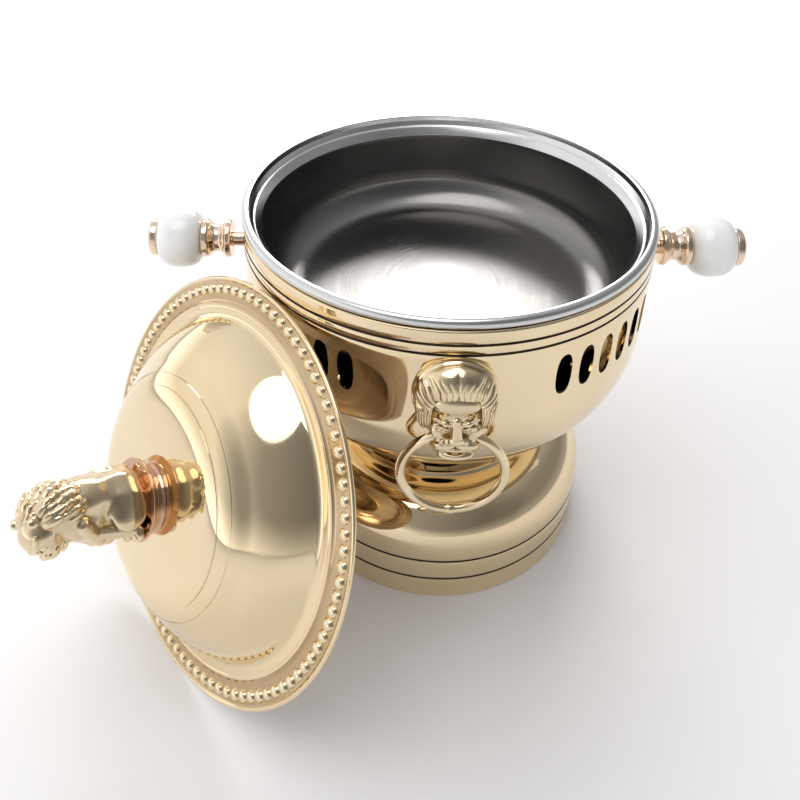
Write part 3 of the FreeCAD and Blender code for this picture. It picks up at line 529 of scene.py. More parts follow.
def groove(radius, height, width=1.05, depth=0.55):
    """The profile of a turned line, from below to above, with eased lips."""
    half = width / 2
    return [(radius, height - half - 0.18), (radius - 0.08, height - half),
            (radius - depth, height - half + 0.12), (radius - depth, height + half - 0.12),
            (radius - 0.08, height + half), (radius, height + half + 0.18)]


def line_slots(radius, heights):
    """Tells a lathe which spans are the dark bottoms of the turned lines at these heights."""
    def slot_of(a, b):
        at_line = min(abs((a[1] + b[1]) / 2 - z) for z in heights) < 0.72
        return int(at_line and radius - 0.7 < (a[0] + b[0]) / 2 < radius - 0.02)
    return slot_of


def from_height(start, corners):
    """Profile corners whose heights count from a start."""
    return [(corner[0], start + corner[1], *corner[2:]) for corner in corners]


# Stove body

FOOT_IN, NECK_HOLE = 76.2, 42.0
base_path = [(FOOT_IN + 0.2, 0.1), (FOOT_IN + 1, 0.0)]
base_path += arc((BASE_R - 0.9, 0.9), 0.9, -90, 0, 5)
for line in BASE_LINES:
    base_path += groove(BASE_R, line)
base_path += arc((BASE_R - SHOULDER, BASE_H - SHOULDER), SHOULDER, 0, 88, 40)
base_path += rounded([(56.2, BASE_H + 0.05), (54.2, BASE_H + 0.3, 1.4), (53.2, PLATEAU, 1.2),
                      (42.4, PLATEAU)])
base_path += [(42.4, PLATEAU), (NECK_HOLE, PLATEAU - 0.3), (NECK_HOLE, PLATEAU - 0.9), (42.3, PLATEAU - WALL)]
base_path += [(51.9, PLATEAU - WALL), (53.3, BASE_H - WALL), (57.0, BASE_H - WALL)]
base_path += arc((BASE_R - SHOULDER, BASE_H - SHOULDER), SHOULDER - WALL, 89, 0, 30)
base_path += [(BASE_R - WALL, WALL + 0.4), (BASE_R - WALL - 0.4, WALL), (FOOT_IN + 0.4, WALL)]
base_path += [(FOOT_IN, WALL - 0.3), (FOOT_IN, 0.4)]
base = lathe("drum_base", densify(base_path, 4), [brass_spun, groove_dark], 360, True,
             line_slots(BASE_R, BASE_LINES))
hand_over(flip_if_inside_out(base), "stove", "polished_brass", "base_drum")

CORNER = BOWL_R - BOWL_ROUND


def underside(radius):
    """Height of the bowl's round underside at a radius."""
    return SPRING - math.sqrt(BOWL_ROUND ** 2 - max(0, radius - CORNER) ** 2)


NECK_R, NECK_LINING_R, VENT_Z, VENT_TOP = 50.5, 50.5 - WALL, PLATEAU + 5.0, 72.0
vents = [(0.0, VENT_Z, 23.0, 7.0)]
neck = sheet("vented_neck", slotted_band(NECK_R, PLATEAU, VENT_TOP, vents, 8, 0.5), brass_spun)
hand_over(neck, "stove", "polished_brass", "neck_collar")
collar_path = [(NECK_R, VENT_TOP), (NECK_R, underside(NECK_R)),
               (NECK_LINING_R, underside(NECK_LINING_R)), (NECK_LINING_R, VENT_TOP)]
collar = lathe("neck_top_ring", densify(collar_path, 3), [brass_spun], 180)
hand_over(collar, "stove", "polished_brass")

under_path = [(BOLT_HOLE_R, BOWL_BASE), (CORNER - 2, BOWL_BASE)]
under_path += arc((CORNER, SPRING), BOWL_ROUND, -90, 0, 72)
low_shell = lathe("bowl_underside", densify(under_path, 4), [brass_spun], 360)
hand_over(low_shell, "stove", "polished_brass", "stove_bowl")
inside_path = arc((CORNER, SPRING), BOWL_ROUND - WALL, 0, -90, 60)
inside_path += [(BOLT_HOLE_R, BOWL_BASE + WALL), (BOLT_HOLE_R, BOWL_BASE)]
low_lining = lathe("bowl_lining", densify(inside_path, 4), [brass_spun], 180)
hand_over(low_lining, "stove", "polished_brass")

SLOT_Z, BAND_LOW, BAND_HIGH = MOUTH - 29.7, 143.0, 171.5
SLOT_PITCH, SLOT_WIDTH, SLOT_HEIGHT = 7.1, 8.0, 21.0
slots = [(SLOT_PITCH * (number - 2.5), SLOT_Z, SLOT_WIDTH, SLOT_HEIGHT) for number in range(6)]
band = turn_part(slotted_band(BOWL_R, BAND_LOW, BAND_HIGH, slots, 4), 45)
wall = sheet("slotted_wall", band, brass_plain)
hand_over(wall, "stove", "polished_brass")
step_path = [(BOWL_R, SPRING), (BOWL_R, BAND_LOW)]
hand_over(lathe("wall_foot", step_path, [brass_spun], 360), "stove", "polished_brass")
step_path = [(BOWL_R - WALL, BAND_LOW), (BOWL_R - WALL, SPRING)]
hand_over(lathe("wall_foot_lining", step_path, [brass_spun], 180), "stove", "polished_brass")
mouth_path = [(BOWL_R, BAND_HIGH)]
for line in MOUTH_LINES:
    mouth_path += groove(BOWL_R, line)
mouth_path += arc((BOWL_R - 1.0, MOUTH - 1.0), 1.0, 0, 90, 8)
mouth_path += [(BOWL_R - WALL, MOUTH), (BOWL_R - WALL, BAND_HIGH)]
mouth = lathe("grooved_mouth", densify(mouth_path, 4), [brass_spun, groove_dark], 360, False,
              line_slots(BOWL_R, MOUTH_LINES))
hand_over(mouth, "stove", "polished_brass")

# Inner pot

LEDGE = RIM_TOP - 5.4
POT_CORNER, POT_ROUND = (70.5, 160.3), 21.0
POT_FLOOR = POT_CORNER[1] - POT_ROUND
pot_out = [(0, POT_FLOOR), (70.5, POT_FLOOR)] + arc(POT_CORNER, POT_ROUND, -90, 0, 30)
pot_out += [(91.5, 181.5, 1.0), (95.4, 186.4, 1.0), (96.9, 188.2, 0.6), (97.5, RIM_TOP - 4.8, 0.4)]
pot_out = rounded(pot_out)
pot_out += arc((97.6, RIM_TOP - 2.4), 2.4, -80, 90, 24)
pot_in = rounded([(97.4, RIM_TOP), (96.4, RIM_TOP, 0.9), (95.9, 189.5, 0.5), (94.6, LEDGE + 0.05, 1.0),
                  (93.6, LEDGE - 0.4, 0.8), (90.7, LEDGE - 4.2, 1.2), (90.5, LEDGE - 6.5, 0.8),
                  (90.5, POT_CORNER[1])])
pot_in += arc(POT_CORNER, POT_ROUND - 1, 0, -90, 36)[1:] + [(0, POT_FLOOR + 1)]
pot = lathe("inner_pot_steel", densify(pot_out + pot_in, 3), [steel_pot_painted_shade, steel_rim], 360, False,
            lambda a, b: int((a[1] + b[1]) / 2 > LEDGE - 4.6 and (a[0] + b[0]) / 2 > 90.45))
hand_over(flip_if_inside_out(pot), "pot", "brushed_steel", "inner_pot")

# Handles


def handle(side, turn):
    """A turned spool, a porcelain ball and a cap on a rod, along an axis that points outwards."""
    place = (Matrix.Rotation(math.radians(turn), 4, "Z") @ Matrix.Translation((0, 0, HANDLE_Z * MM))
             @ Matrix.Rotation(math.radians(90), 4, "Y"))
    spool_start, ball_start, cap_start, cap_end = 107.2, 122.4, 143.8, 148.2

    def add_piece(piece, material, node):
        hand_over(piece, "stove", material, f"{side}_handle_{node}")

    rod = rounded([(0, 92.0), (2.2, 92.0), (2.5, 92.4), (2.5, 99.6), (4.0, 99.7), (4.0, 106.9),
                   (4.6, 107.2), (2.6, 107.3), (2.5, 121.0), (2.5, 146.6), (0, 146.6)])
    add_piece(lathe(f"{side}_rod", densify(rod, 3), [brass_rose], 64, place=place), "polished_brass", "stud")
    spool = from_height(spool_start, [(2.6, 0), (8.9, 0, 0.7), (9.6, 0.7, 0.5), (9.75, 2.6, 0.6),
                                      (8.3, 3.4, 0.5), (8.1, 4.2, 0.5), (7.0, 5.8, 2.2), (6.9, 8.4, 2.2)])
    spool += from_height(ball_start, [(8.2, -4.6, 0.8), (9.2, -4.2, 0.5), (9.75, -3.1, 0.6),
                                      (9.7, -0.9, 0.6), (8.8, 0, 0.4), (2.6, 0)])
    spool = lathe(f"{side}_spool", densify(rounded(spool, True), 2), [brass_rose], 128, True, place=place)
    add_piece(flip_if_inside_out(spool), "polished_brass", "spool")
    middle = (ball_start + cap_start) / 2
    ball = [(2.6, ball_start + 0.05), (8.0, ball_start + 0.05)]
    for step in range(41):
        across = -1 + step / 20
        power = abs(across) ** 2.35
        ball.append((8.4 + 6.75 * (1 - power) ** (1 / 2.1), middle + across * 10.6))
    ball += [(8.0, cap_start - 0.05), (2.6, cap_start - 0.05)]
    ball = lathe(f"{side}_ball", ball, [glaze], 160, True, crease=50, place=place)
    add_piece(flip_if_inside_out(ball), "porcelain", "ball")
    cap = from_height(cap_start, [(2.6, 0), (8.6, 0, 0.4), (9.3, 0.5, 0.5)])
    cap += from_height(cap_end, [(9.35, -1.1, 0.7), (8.4, -0.2, 0.7), (6.9, -0.05, 0.3), (6.6, -0.6, 0.25),
                                 (3.6, -0.75, 0.4), (2.4, -0.1, 0.8), (0, 0)])
    cap = lathe(f"{side}_cap", densify(rounded(cap), 2), [brass_rose], 128, place=place)
    add_piece(cap, "polished_brass", "cap")


handle("right", 0)
handle("left", 180)

# Sculpting by distance


def ball_field(p, centre, radii, turn=None):
    q = p - np.array(centre, np.float32)
    if turn is not None:
        q = q @ turn
    radii = np.array(radii, np.float32)
    near = np.linalg.norm(q / radii, axis=-1)
    far = np.linalg.norm(q / radii ** 2, axis=-1) + 1e-6
    return near * (near - 1) / far


def rod_field(p, a, b, ra, rb):
    a, b = np.array(a, np.float32), np.array(b, np.float32)
    along = np.clip((p - a) @ (b - a) / float((b - a) @ (b - a)), 0, 1)
    return np.linalg.norm(p - a - along[..., None] * (b - a), axis=-1) - (ra + (rb - ra) * along)


def melt(a, b, k):
    h = np.clip(0.5 + 0.5 * (b - a) / k, 0, 1)
    return b + (a - b) * h - k * h * (1 - h)


def carve(a, b, k):
    return -melt(-a, b, k)


class Clay:
    """A distance field in the making: balls and rods are melted on or carved off."""

    def __init__(self, p, field):
        self.p, self.field = p, field

    def add(self, field, soft):
        self.field = melt(self.field, field, soft)

    def ball(self, centre, radii, soft):
        self.add(ball_field(self.p, centre, radii), soft)

    def rod(self, a, b, ra, rb, soft):
        self.add(rod_field(self.p, a, b, ra, rb), soft)

    def cut_ball(self, centre, radii, soft):
        self.field = carve(self.field, ball_field(self.p, centre, radii), soft)

    def cut_rod(self, a, b, ra, rb, soft):
        self.field = carve(self.field, rod_field(self.p, a, b, ra, rb), soft)


def surface(field, lowest, highest, cell):
    """Turns a distance field into a smooth closed mesh: one point per crossed cell."""
    counts = [int(math.ceil((h - l) / cell)) + 1 for l, h in zip(lowest, highest)]
    axes = [np.float32(l) + np.arange(n, dtype=np.float32) * np.float32(cell) for l, n in zip(lowest, counts)]
    values = np.empty(counts, np.float32)
    for layer in range(0, counts[0], 16):
        grid = np.stack(np.meshgrid(axes[0][layer:layer + 16], axes[1], axes[2], indexing="ij"), axis=-1)
        values[layer:layer + 16] = field(grid)
    inside = values < 0
    shape = tuple(n - 1 for n in counts)
    total = np.zeros((*shape, 3), np.float32)
    crossings = np.zeros(shape, np.int32)
    corner = [(i, j, k) for i in (0, 1) for j in (0, 1) for k in (0, 1)]

    def block(array, shift):
        return array[shift[0]:shift[0] + shape[0], shift[1]:shift[1] + shape[1], shift[2]:shift[2] + shape[2]]

    for first in corner:
        for axis in range(3):
            if first[axis]:
                continue
            second = tuple(c + (1 if n == axis else 0) for n, c in enumerate(first))
            va, vb = block(values, first), block(values, second)
            crossed = block(inside, first) != block(inside, second)
            share = np.where(crossed, va / np.where(crossed, va - vb, 1), 0)
            crossings += crossed
            for n in range(3):
                total[..., n] += np.where(crossed, first[n] + (share if n == axis else 0), 0)
    used = crossings > 0
    number = np.full(shape, -1, np.int64)
    number[used] = np.arange(int(used.sum()))
    where = np.argwhere(used)
    points = (where + total[used] / crossings[used][:, None]) * cell + np.array(lowest)
    faces = []
    for axis in range(3):
        b, c = [n for n in range(3) if n != axis]
        shift = [0, 0, 0]
        shift[axis] = 1
        span = [slice(0, counts[n]) for n in range(3)]
        near, far = list(span), list(span)
        near[axis], far[axis] = slice(0, counts[axis] - 1), slice(1, counts[axis])
        flips = np.argwhere(inside[tuple(near)] != inside[tuple(far)])
        for n in (b, c):
            flips = flips[(flips[:, n] > 0) & (flips[:, n] < counts[n] - 1)]
        starts_inside = inside[tuple(flips.T)]
        quad = []
        for db, dc in ((-1, -1), (0, -1), (0, 0), (-1, 0)):
            cell_at = flips.copy()
            cell_at[:, b] += db
            cell_at[:, c] += dc
            quad.append(number[tuple(cell_at.T)])
        quad = np.stack(quad, axis=1)
        forward = starts_inside if axis != 1 else ~starts_inside
        quad[~forward] = quad[~forward][:, ::-1]
        faces.append(quad)
    faces = np.concatenate(faces)
    return points, faces[(faces >= 0).all(axis=1)]


def relax(points, faces, rounds, share=0.5):
    """Evens out the little steps that the grid leaves."""
    pairs = np.concatenate([faces[:, [0, 1]], faces[:, [1, 2]], faces[:, [2, 3]], faces[:, [3, 0]]])
    count = np.bincount(pairs[:, 0], minlength=len(points)) + np.bincount(pairs[:, 1], minlength=len(points))
    for _ in range(rounds):
        total = np.zeros_like(points)
        for axis in range(3):
            total[:, axis] = (np.bincount(pairs[:, 0], points[pairs[:, 1], axis], len(points))
                              + np.bincount(pairs[:, 1], points[pairs[:, 0], axis], len(points)))
        points = points + (total / np.maximum(count, 1)[:, None] - points) * share
    return points


def sculpt(name, points, faces, material, place=None):
    return make_object(name, points.tolist(), faces.tolist(), [material], place=place)


# Lion masks


def mask_field(grid):
    """Lion's head in mm: X across, Y out from the plate, Z up from its centre."""
    p = grid.copy()
    p[..., 0] = np.abs(p[..., 0])
    # Beyond 6.5 mm the relief is flattened, so that the muzzle isn't too proud.
    p[..., 1] += 0.37 * np.maximum(p[..., 1] - 6.5, 0)
    x, y, z = p[..., 0], p[..., 1], p[..., 2]
    # Combed hair: a cap over the brow and a lock down each side of the face.
    hair = ball_field(p, (0, -1.6, 4.4), (16.6, 11.2, 13.6))
    hair = melt(hair, ball_field(p, (11.6, -0.5, -3.5), (5.0, 7.6, 11.5)), 2.5)
    fan = np.arctan2(x, z + 9.0) * 23 + 0.5 * np.sin(z * 0.8)
    locks = (x - 9.0) * 2.9 + 0.9 * np.sin(z * 0.45)
    side = np.clip((2.0 - z) / 5, 0, 1)
    side = side * side * (3 - 2 * side)
    flow = fan * (1 - side) + (locks + 14.0) * side
    fine = np.abs(np.sin(flow))
    broad = np.abs(np.sin(flow * 0.25 + 0.4))
    near_brow = np.clip((14.5 - z) / 5, 0, 1)
    front = np.clip((y - 0.5) / 2.0, 0, 1) * np.clip((18.0 - z) / 2.5, 0, 1)
    hair = hair + ((1 - fine) ** 1.4 * 0.7 * near_brow + (1 - broad) ** 2 * 0.95) * front - 0.3 * front
    window = np.maximum(x - 10.2 + 0.012 * (z + 6) ** 2 * (z > -6), z - 6.6 + 0.022 * x * x)
    hair = carve(hair, window, 0.7)
    # The face, tipped a little upwards.
    face = Clay(p, ball_field(p, (0, 1.2, -7.5), (10.8, 8.3, 14.5)))
    face.ball((0, 5.2, 1.8), (9.8, 4.6, 5.0), 1.2)
    face.ball((7.6, 6.3, -12.2), (3.4, 3.2, 4.4), 1.6)
    face.ball((5.2, 6.0, -17.4), (5.8, 5.0, 4.8), 1.6)
    face.cut_ball((5.8, 11.4, -8.3), (3.8, 3.3, 2.2), 0.8)
    face.rod((1.5, 9.9, -5.8), (4.6, 9.9, -5.2), 0.8, 1.1, 0.9)
    face.rod((4.6, 9.9, -5.2), (8.9, 8.0, -3.6), 1.1, 0.6, 0.9)
    face.cut_rod((0.0, 11.2, -5.4), (0.7, 10.5, -3.0), 0.38, 0.2, 0.4)
    face.ball((5.8, 7.7, -8.9), (2.6, 1.8, 1.4), 0.15)
    face.cut_ball((5.5, 9.7, -8.8), (0.85, 1.0, 0.7), 0.15)
    face.rod((3.0, 9.2, -8.9), (5.7, 9.7, -7.4), 0.4, 0.5, 0.2)
    face.rod((5.7, 9.7, -7.4), (8.7, 8.0, -7.8), 0.5, 0.35, 0.2)
    face.rod((3.2, 9.0, -9.8), (5.9, 9.0, -10.5), 0.4, 0.45, 0.2)
    face.rod((5.9, 9.0, -10.5), (8.4, 7.8, -9.5), 0.45, 0.3, 0.2)
    face.rod((0, 9.4, -4.4), (0, 11.6, -12.4), 1.7, 2.7, 1.0)
    face.ball((0, 12.4, -13.0), (3.3, 1.9, 2.0), 0.8)
    face.ball((3.2, 11.1, -13.8), (1.9, 1.7, 1.6), 0.5)
    face.cut_ball((1.7, 13.0, -15.0), (0.95, 0.9, 0.65), 0.3)
    face.ball((4.2, 9.4, -16.7), (5.2, 3.2, 2.8), 0.7)
    face.cut_rod((4.8, 12.0, -12.2), (9.6, 8.8, -17.2), 0.6, 0.45, 0.6)
    face.cut_rod((6.2, 11.2, -11.0), (9.4, 8.6, -14.4), 0.4, 0.3, 0.5)
    face.ball((0, 7.4, -21.3), (8.2, 4.6, 3.1), 0.8)
    face.ball((0, 9.6, -21.6), (7.4, 4.0, 2.3), 0.6)
    face.rod((0, 12.4, -17.6), (6.0, 11.0, -18.2), 0.9, 0.8, 0.4)
    face.cut_ball((0, 13.2, -19.3), (6.0, 3.8, 1.0), 0.2)
    face.cut_rod((0, 13.1, -15.3), (0, 13.0, -16.8), 0.32, 0.3, 0.3)
    face.add(hair, 0.5)
    head = face.field
    pivot_y, pivot_z = RING_OUT - PLATE_FACE, PIVOT_Z - MASK_Z
    dy, dz = grid[..., 1] - pivot_y, z - pivot_z
    angle, reach = np.arctan2(dy, -dz), np.hypot(dy, dz)
    hole = np.full_like(head, 99)
    for swing in (angle, angle + math.pi, angle - math.pi, angle * 0 + SWING[0], angle * 0 + SWING[1]):
        past = angle - np.clip(swing, *SWING)
        off_ring = np.hypot(x, reach * np.cos(past) - RING_R) - RING_R
        hole = np.minimum(hole, np.hypot(off_ring, reach * np.sin(past)) - (WIRE_R + 0.35))
    head = np.maximum(head, -hole)
    return np.maximum(head, -(y + 0.15))


head_points, head_faces = surface(mask_field, (-18.5, -1.0, -26.0), (18.5, 13.5, 19.5), 0.24)
head_points = relax(head_points, head_faces, 1, 0.35)


def mask(side, turn):
    """The lion's head on its round plate, bent to the bowl's wall behind."""
    spin = Matrix.Rotation(math.radians(turn), 4, "Z")
    place = spin @ Matrix.Translation((0, -PLATE_FACE * MM, MASK_Z * MM))
    outwards = head_points * np.array((1, -1, 1))
    head = sculpt(f"{side}_lion_head", outwards, head_faces[:, ::-1], brass_cast_painted_shade, place)
    hand_over(head, "stove", "cast_brass", f"{side}_lion_mask")
    upright = spin @ Matrix.Translation((0, 0, MASK_Z * MM)) @ Matrix.Rotation(math.radians(90), 4, "X")
    disc = from_height(PLATE_FACE, [(0, 0), (15.6, 0, 0.6), (16.3, -0.5, 0.4), (17.2, -0.7, 0.9),
                                    (18.0, -1.9, 1.0)]) + [(18.0, 98.0)]
    plate = lathe(f"{side}_round_plate", densify(rounded(disc), 1.5), [brass_plain], 160, place=upright)
    for vertex in plate.data.vertices:
        if vertex.co.z / MM < 100.5:
            vertex.co.z = math.sqrt(99.6 ** 2 - (vertex.co.x / MM) ** 2) * MM
    hand_over(plate, "stove", "polished_brass", f"{side}_mask_plate")


mask("front", 0)
mask("rear", 180)


def pull_ring(side, sign):
    """Hand-closed wire ring: slightly flattened wire and a small joint bead at the bottom."""
    points, faces = [], []
    around, across = 220, 28
    for i in range(around):
        angle = 2 * math.pi * i / around
        swell = 1 + 0.012 * math.sin(3 * angle + 0.7) + 0.008 * math.sin(7 * angle)
        bead = math.exp(-((angle - math.pi) / 0.06) ** 2) * 0.5
        for j in range(across):
            turn = 2 * math.pi * j / across
            wire = WIRE_R * min(1.0, swell) * 0.985 + bead
            reach = RING_R + wire * math.cos(turn)
            points.append((reach * math.sin(angle), sign * (RING_OUT + wire * math.sin(turn)),
                           PIVOT_Z - RING_R + reach * math.cos(angle)))
    for i in range(around):
        for j in range(across):
            a, b = i * across + j, ((i + 1) % around) * across + j
            c, d = ((i + 1) % around) * across + (j + 1) % across, i * across + (j + 1) % across
            faces.append((a, b, c, d))
    ring = make_object(f"{side}_ring", points, faces, [brass_plain])
    hand_over(flip_if_inside_out(ring), f"{side}_ring", "polished_brass", f"{side}_pull_ring")


pull_ring("front", -1)
pull_ring("rear", 1)

# Lid

# The lid stands on its edge beside the bowl, where BEARING points, and leans back by LEAN.
LEAN, BEARING = math.radians(22.8), math.radians(180 + 39.7)
EDGE_R, EDGE_ROUND = 94, 1
outward = Vector((math.cos(BEARING), math.sin(BEARING), 0))
lid_axis = outward * math.cos(LEAN) + Vector((0, 0, math.sin(LEAN)))
lid_up = Vector((0, 0, math.cos(LEAN))) - outward * math.sin(LEAN)
lid_side = lid_up.cross(lid_axis)
stand_off = BOWL_R + 0.3 + EDGE_R * math.sin(LEAN) - math.cos(LEAN) + EDGE_ROUND
lid_height = EDGE_R * math.cos(LEAN) + EDGE_ROUND - math.sin(LEAN)
lid_centre = (outward * stand_off + Vector((0, 0, lid_height))) * MM
LID = Matrix.Translation(lid_centre) @ Matrix((lid_side, lid_up, lid_axis)).transposed().to_4x4()

# The flank bows outwards by this much at its middle.
BULGE = 1.6


def dome(skin):
    """The dome's profile one skin deep: foot, flank, shoulder and crown."""
    steep, gentle = math.radians(48), math.radians(8)
    crown_r, shoulder_r, foot_round = 280, 30, 3
    shoulder_axis = (crown_r - shoulder_r) * math.sin(gentle)
    foot_r = 78 - foot_round * math.sin(steep)
    foot_z = 2.2 + foot_round * (1 - math.cos(steep))
    top_r = shoulder_axis + shoulder_r * math.sin(steep)
    shoulder_z = foot_z + (foot_r - top_r) * math.tan(steep) - shoulder_r * math.cos(steep)
    crown_z = shoulder_z - (crown_r - shoulder_r) * math.cos(gentle)
    flank = []
    for step in range(25):
        share = step / 24
        swell = 4 * BULGE * share * (1 - share) - skin
        flank.append((foot_r + (top_r - foot_r) * share + swell * math.sin(steep),
                      foot_z + (foot_r - top_r) * math.tan(steep) * share + swell * math.cos(steep)))
    shoulder = arc((shoulder_axis, shoulder_z), shoulder_r - skin, 90 - 48, 90 - 8, 26)
    crown = arc((0, crown_z), crown_r - skin, 90 - 8, 90, 24)
    return flank, shoulder, crown


def scribe(path, radius, width=0.5, depth=0.3):
    """Cuts a fine V line into a profile where it passes a radius."""
    out = []
    for a, b in zip(path, path[1:]):
        out.append(a)
        if (a[0] - radius) * (b[0] - radius) <= 0 and a[0] != b[0]:
            share = (radius - a[0]) / (b[0] - a[0])
            centre = (radius, a[1] + (b[1] - a[1]) * share)
            length = math.dist(a, b)
            along = ((b[0] - a[0]) / length, (b[1] - a[1]) / length)
            into = (-abs(along[1]), -abs(along[0]))
            floor = (width * 0.45, depth * 0.8)
            for shift, sink in ((-width, 0), (-floor[0], floor[1]), floor, (width, 0)):
                out.append(tuple(centre[n] + along[n] * shift + into[n] * sink for n in (0, 1)))
    out.append(path[-1])
    return out


flank, shoulder, crown = dome(0)
FLANK_FOOT = (78.0, 5.2)
KNOB_HOLE_R = 2.8
slope = [(84.1, 1.2, 0.3), (83.7, 1.35, 0.2), (83.1, 1.7, 0.3), (82.5, 2.2, 0.5), (81.4, 2.25, 0.2),
         (81.1, 2.05, 0.2), (80.7, 2.2, 0.2), (78.0, 2.2)]
lid_top = arc((93.95, 1.0), 1.0, -90, 110, 14)
lid_top += rounded([(93.4, 1.75), (92.6, 1.25, 0.5), (91.9, 1.2), *slope])
lid_top += arc(FLANK_FOOT, 3.0, 270, 270 - 48, 12)[1:]
dome_path = flank[1:-1] + shoulder[3:] + crown[1:-1] + [(KNOB_HOLE_R, crown[-1][1] - 0.02)]
dome_path = scribe(scribe([lid_top[-1]] + dome_path, 52.7), 46.9)
flank_in, shoulder_in, crown_in = dome(WALL)
under = [(KNOB_HOLE_R, crown_in[-1][1])] + crown_in[::-1][1:] + shoulder_in[::-1][1:-3] + flank_in[::-1][1:]
under += arc(FLANK_FOOT, 4.2, 270 - 48, 270, 10) + [(81.9, 1.0), (82.9, 0.0), (94.0, 0.0)]
lid_spun = polished("lid_spun", GOLD, GOLD_DEEP, True, place=LID)
# Painted shade: the lid's inside gets a dark brown colour for the shade it lies in, as well as a rougher
# finish.
lid_rough_painted_shade = polished("lid_rough_painted_shade", (0.50, 0.37, 0.235), (0.36, 0.25, 0.15), True, (0.16, 0.3), 0.05, LID)
lid_rose = polished("lid_rose", (0.70, 0.47, 0.33), (0.55, 0.33, 0.22), True, (0.05, 0.14), place=LID)
# Painted shade: the flange band gets a darker olive colour for the shadows among its beads.
lid_flange_painted_shade = polished("lid_flange_painted_shade", (0.66, 0.51, 0.32), (0.50, 0.36, 0.20), True, (0.10, 0.2), 0.05, LID)
lid_face = lathe("lid_dome", densify(lid_top + dome_path[1:], 2.5), [lid_spun, lid_flange_painted_shade], 384, False,
                 lambda a, b: int(82.0 < (a[0] + b[0]) / 2 < 93.2 and a[1] > 1.1), 30, LID)
hand_over(settle(lid_face), "lid", "polished_brass", "lid_shell")
lid_inside = lathe("lid_inside", densify([dome_path[-1]] + under, 2.5), [lid_rough_painted_shade], 256, False, None, 30, LID)
hand_over(settle(lid_inside), "lid", "polished_brass")


def bead_row():
    """Ninety raised beads round the flange, each with a soft fillet into the sheet."""
    points, faces = [], []
    around, bead_circle = 18, 89.0
    profile = [(3.0, 1.12), (2.72, 1.24), (2.55, 1.5), (2.42, 1.85), (2.15, 2.25), (1.75, 2.6), (1.2, 2.85),
               (0.6, 2.97)]
    for bead in range(90):
        angle = 2 * math.pi * bead / 90
        size = 1 + 0.02 * math.sin(bead * 2.3) + 0.015 * math.sin(bead * 5.1)
        cx, cy = bead_circle * math.cos(angle), bead_circle * math.sin(angle)
        first = len(points)
        for radius, height in profile:
            for step in range(around):
                turn = 2 * math.pi * step / around
                along, out = radius * size * math.cos(turn), radius * size * math.sin(turn)
                points.append((cx + out * math.cos(angle) - along * math.sin(angle),
                               cy + out * math.sin(angle) + along * math.cos(angle), height))
        points.append((cx, cy, 3.0))
        for ring in range(len(profile)):
            for step in range(around):
                a, b = (first + ring * around + corner % around for corner in (step, step + 1))
                last_ring = ring == len(profile) - 1
                faces.append((b, a, len(points) - 1) if last_ring else (b, a, a + around, b + around))
    return make_object("lid_beads", points, faces, [brass_cast_painted_shade], place=LID)


hand_over(settle(bead_row()), "lid", "polished_brass")

# The knob's foot is a waist of 3.4 mm and a ring of 2.6 mm.
APEX = crown[-1][1]
RING_TOP = APEX + 3.4 + 2.6
pedestal = from_height(APEX, [(KNOB_HOLE_R, -0.02), (15.4, -0.42), (14.6, 0.6, 0.6), (14.4, 3.2, 3.0),
                              (16.9, 4.6, 0.5), (17.5, 4.9, 0.3)])
pedestal += from_height(RING_TOP, [(17.5, -0.2, 0.5), (16.4, 0, 0.3), (KNOB_HOLE_R, 0)])
finial_base = lathe("finial_base", densify(rounded(pedestal, True), 1.5), [lid_rose], 160, True, place=LID)
hand_over(settle(flip_if_inside_out(finial_base)), "lid", "polished_brass", "finial_pedestal")


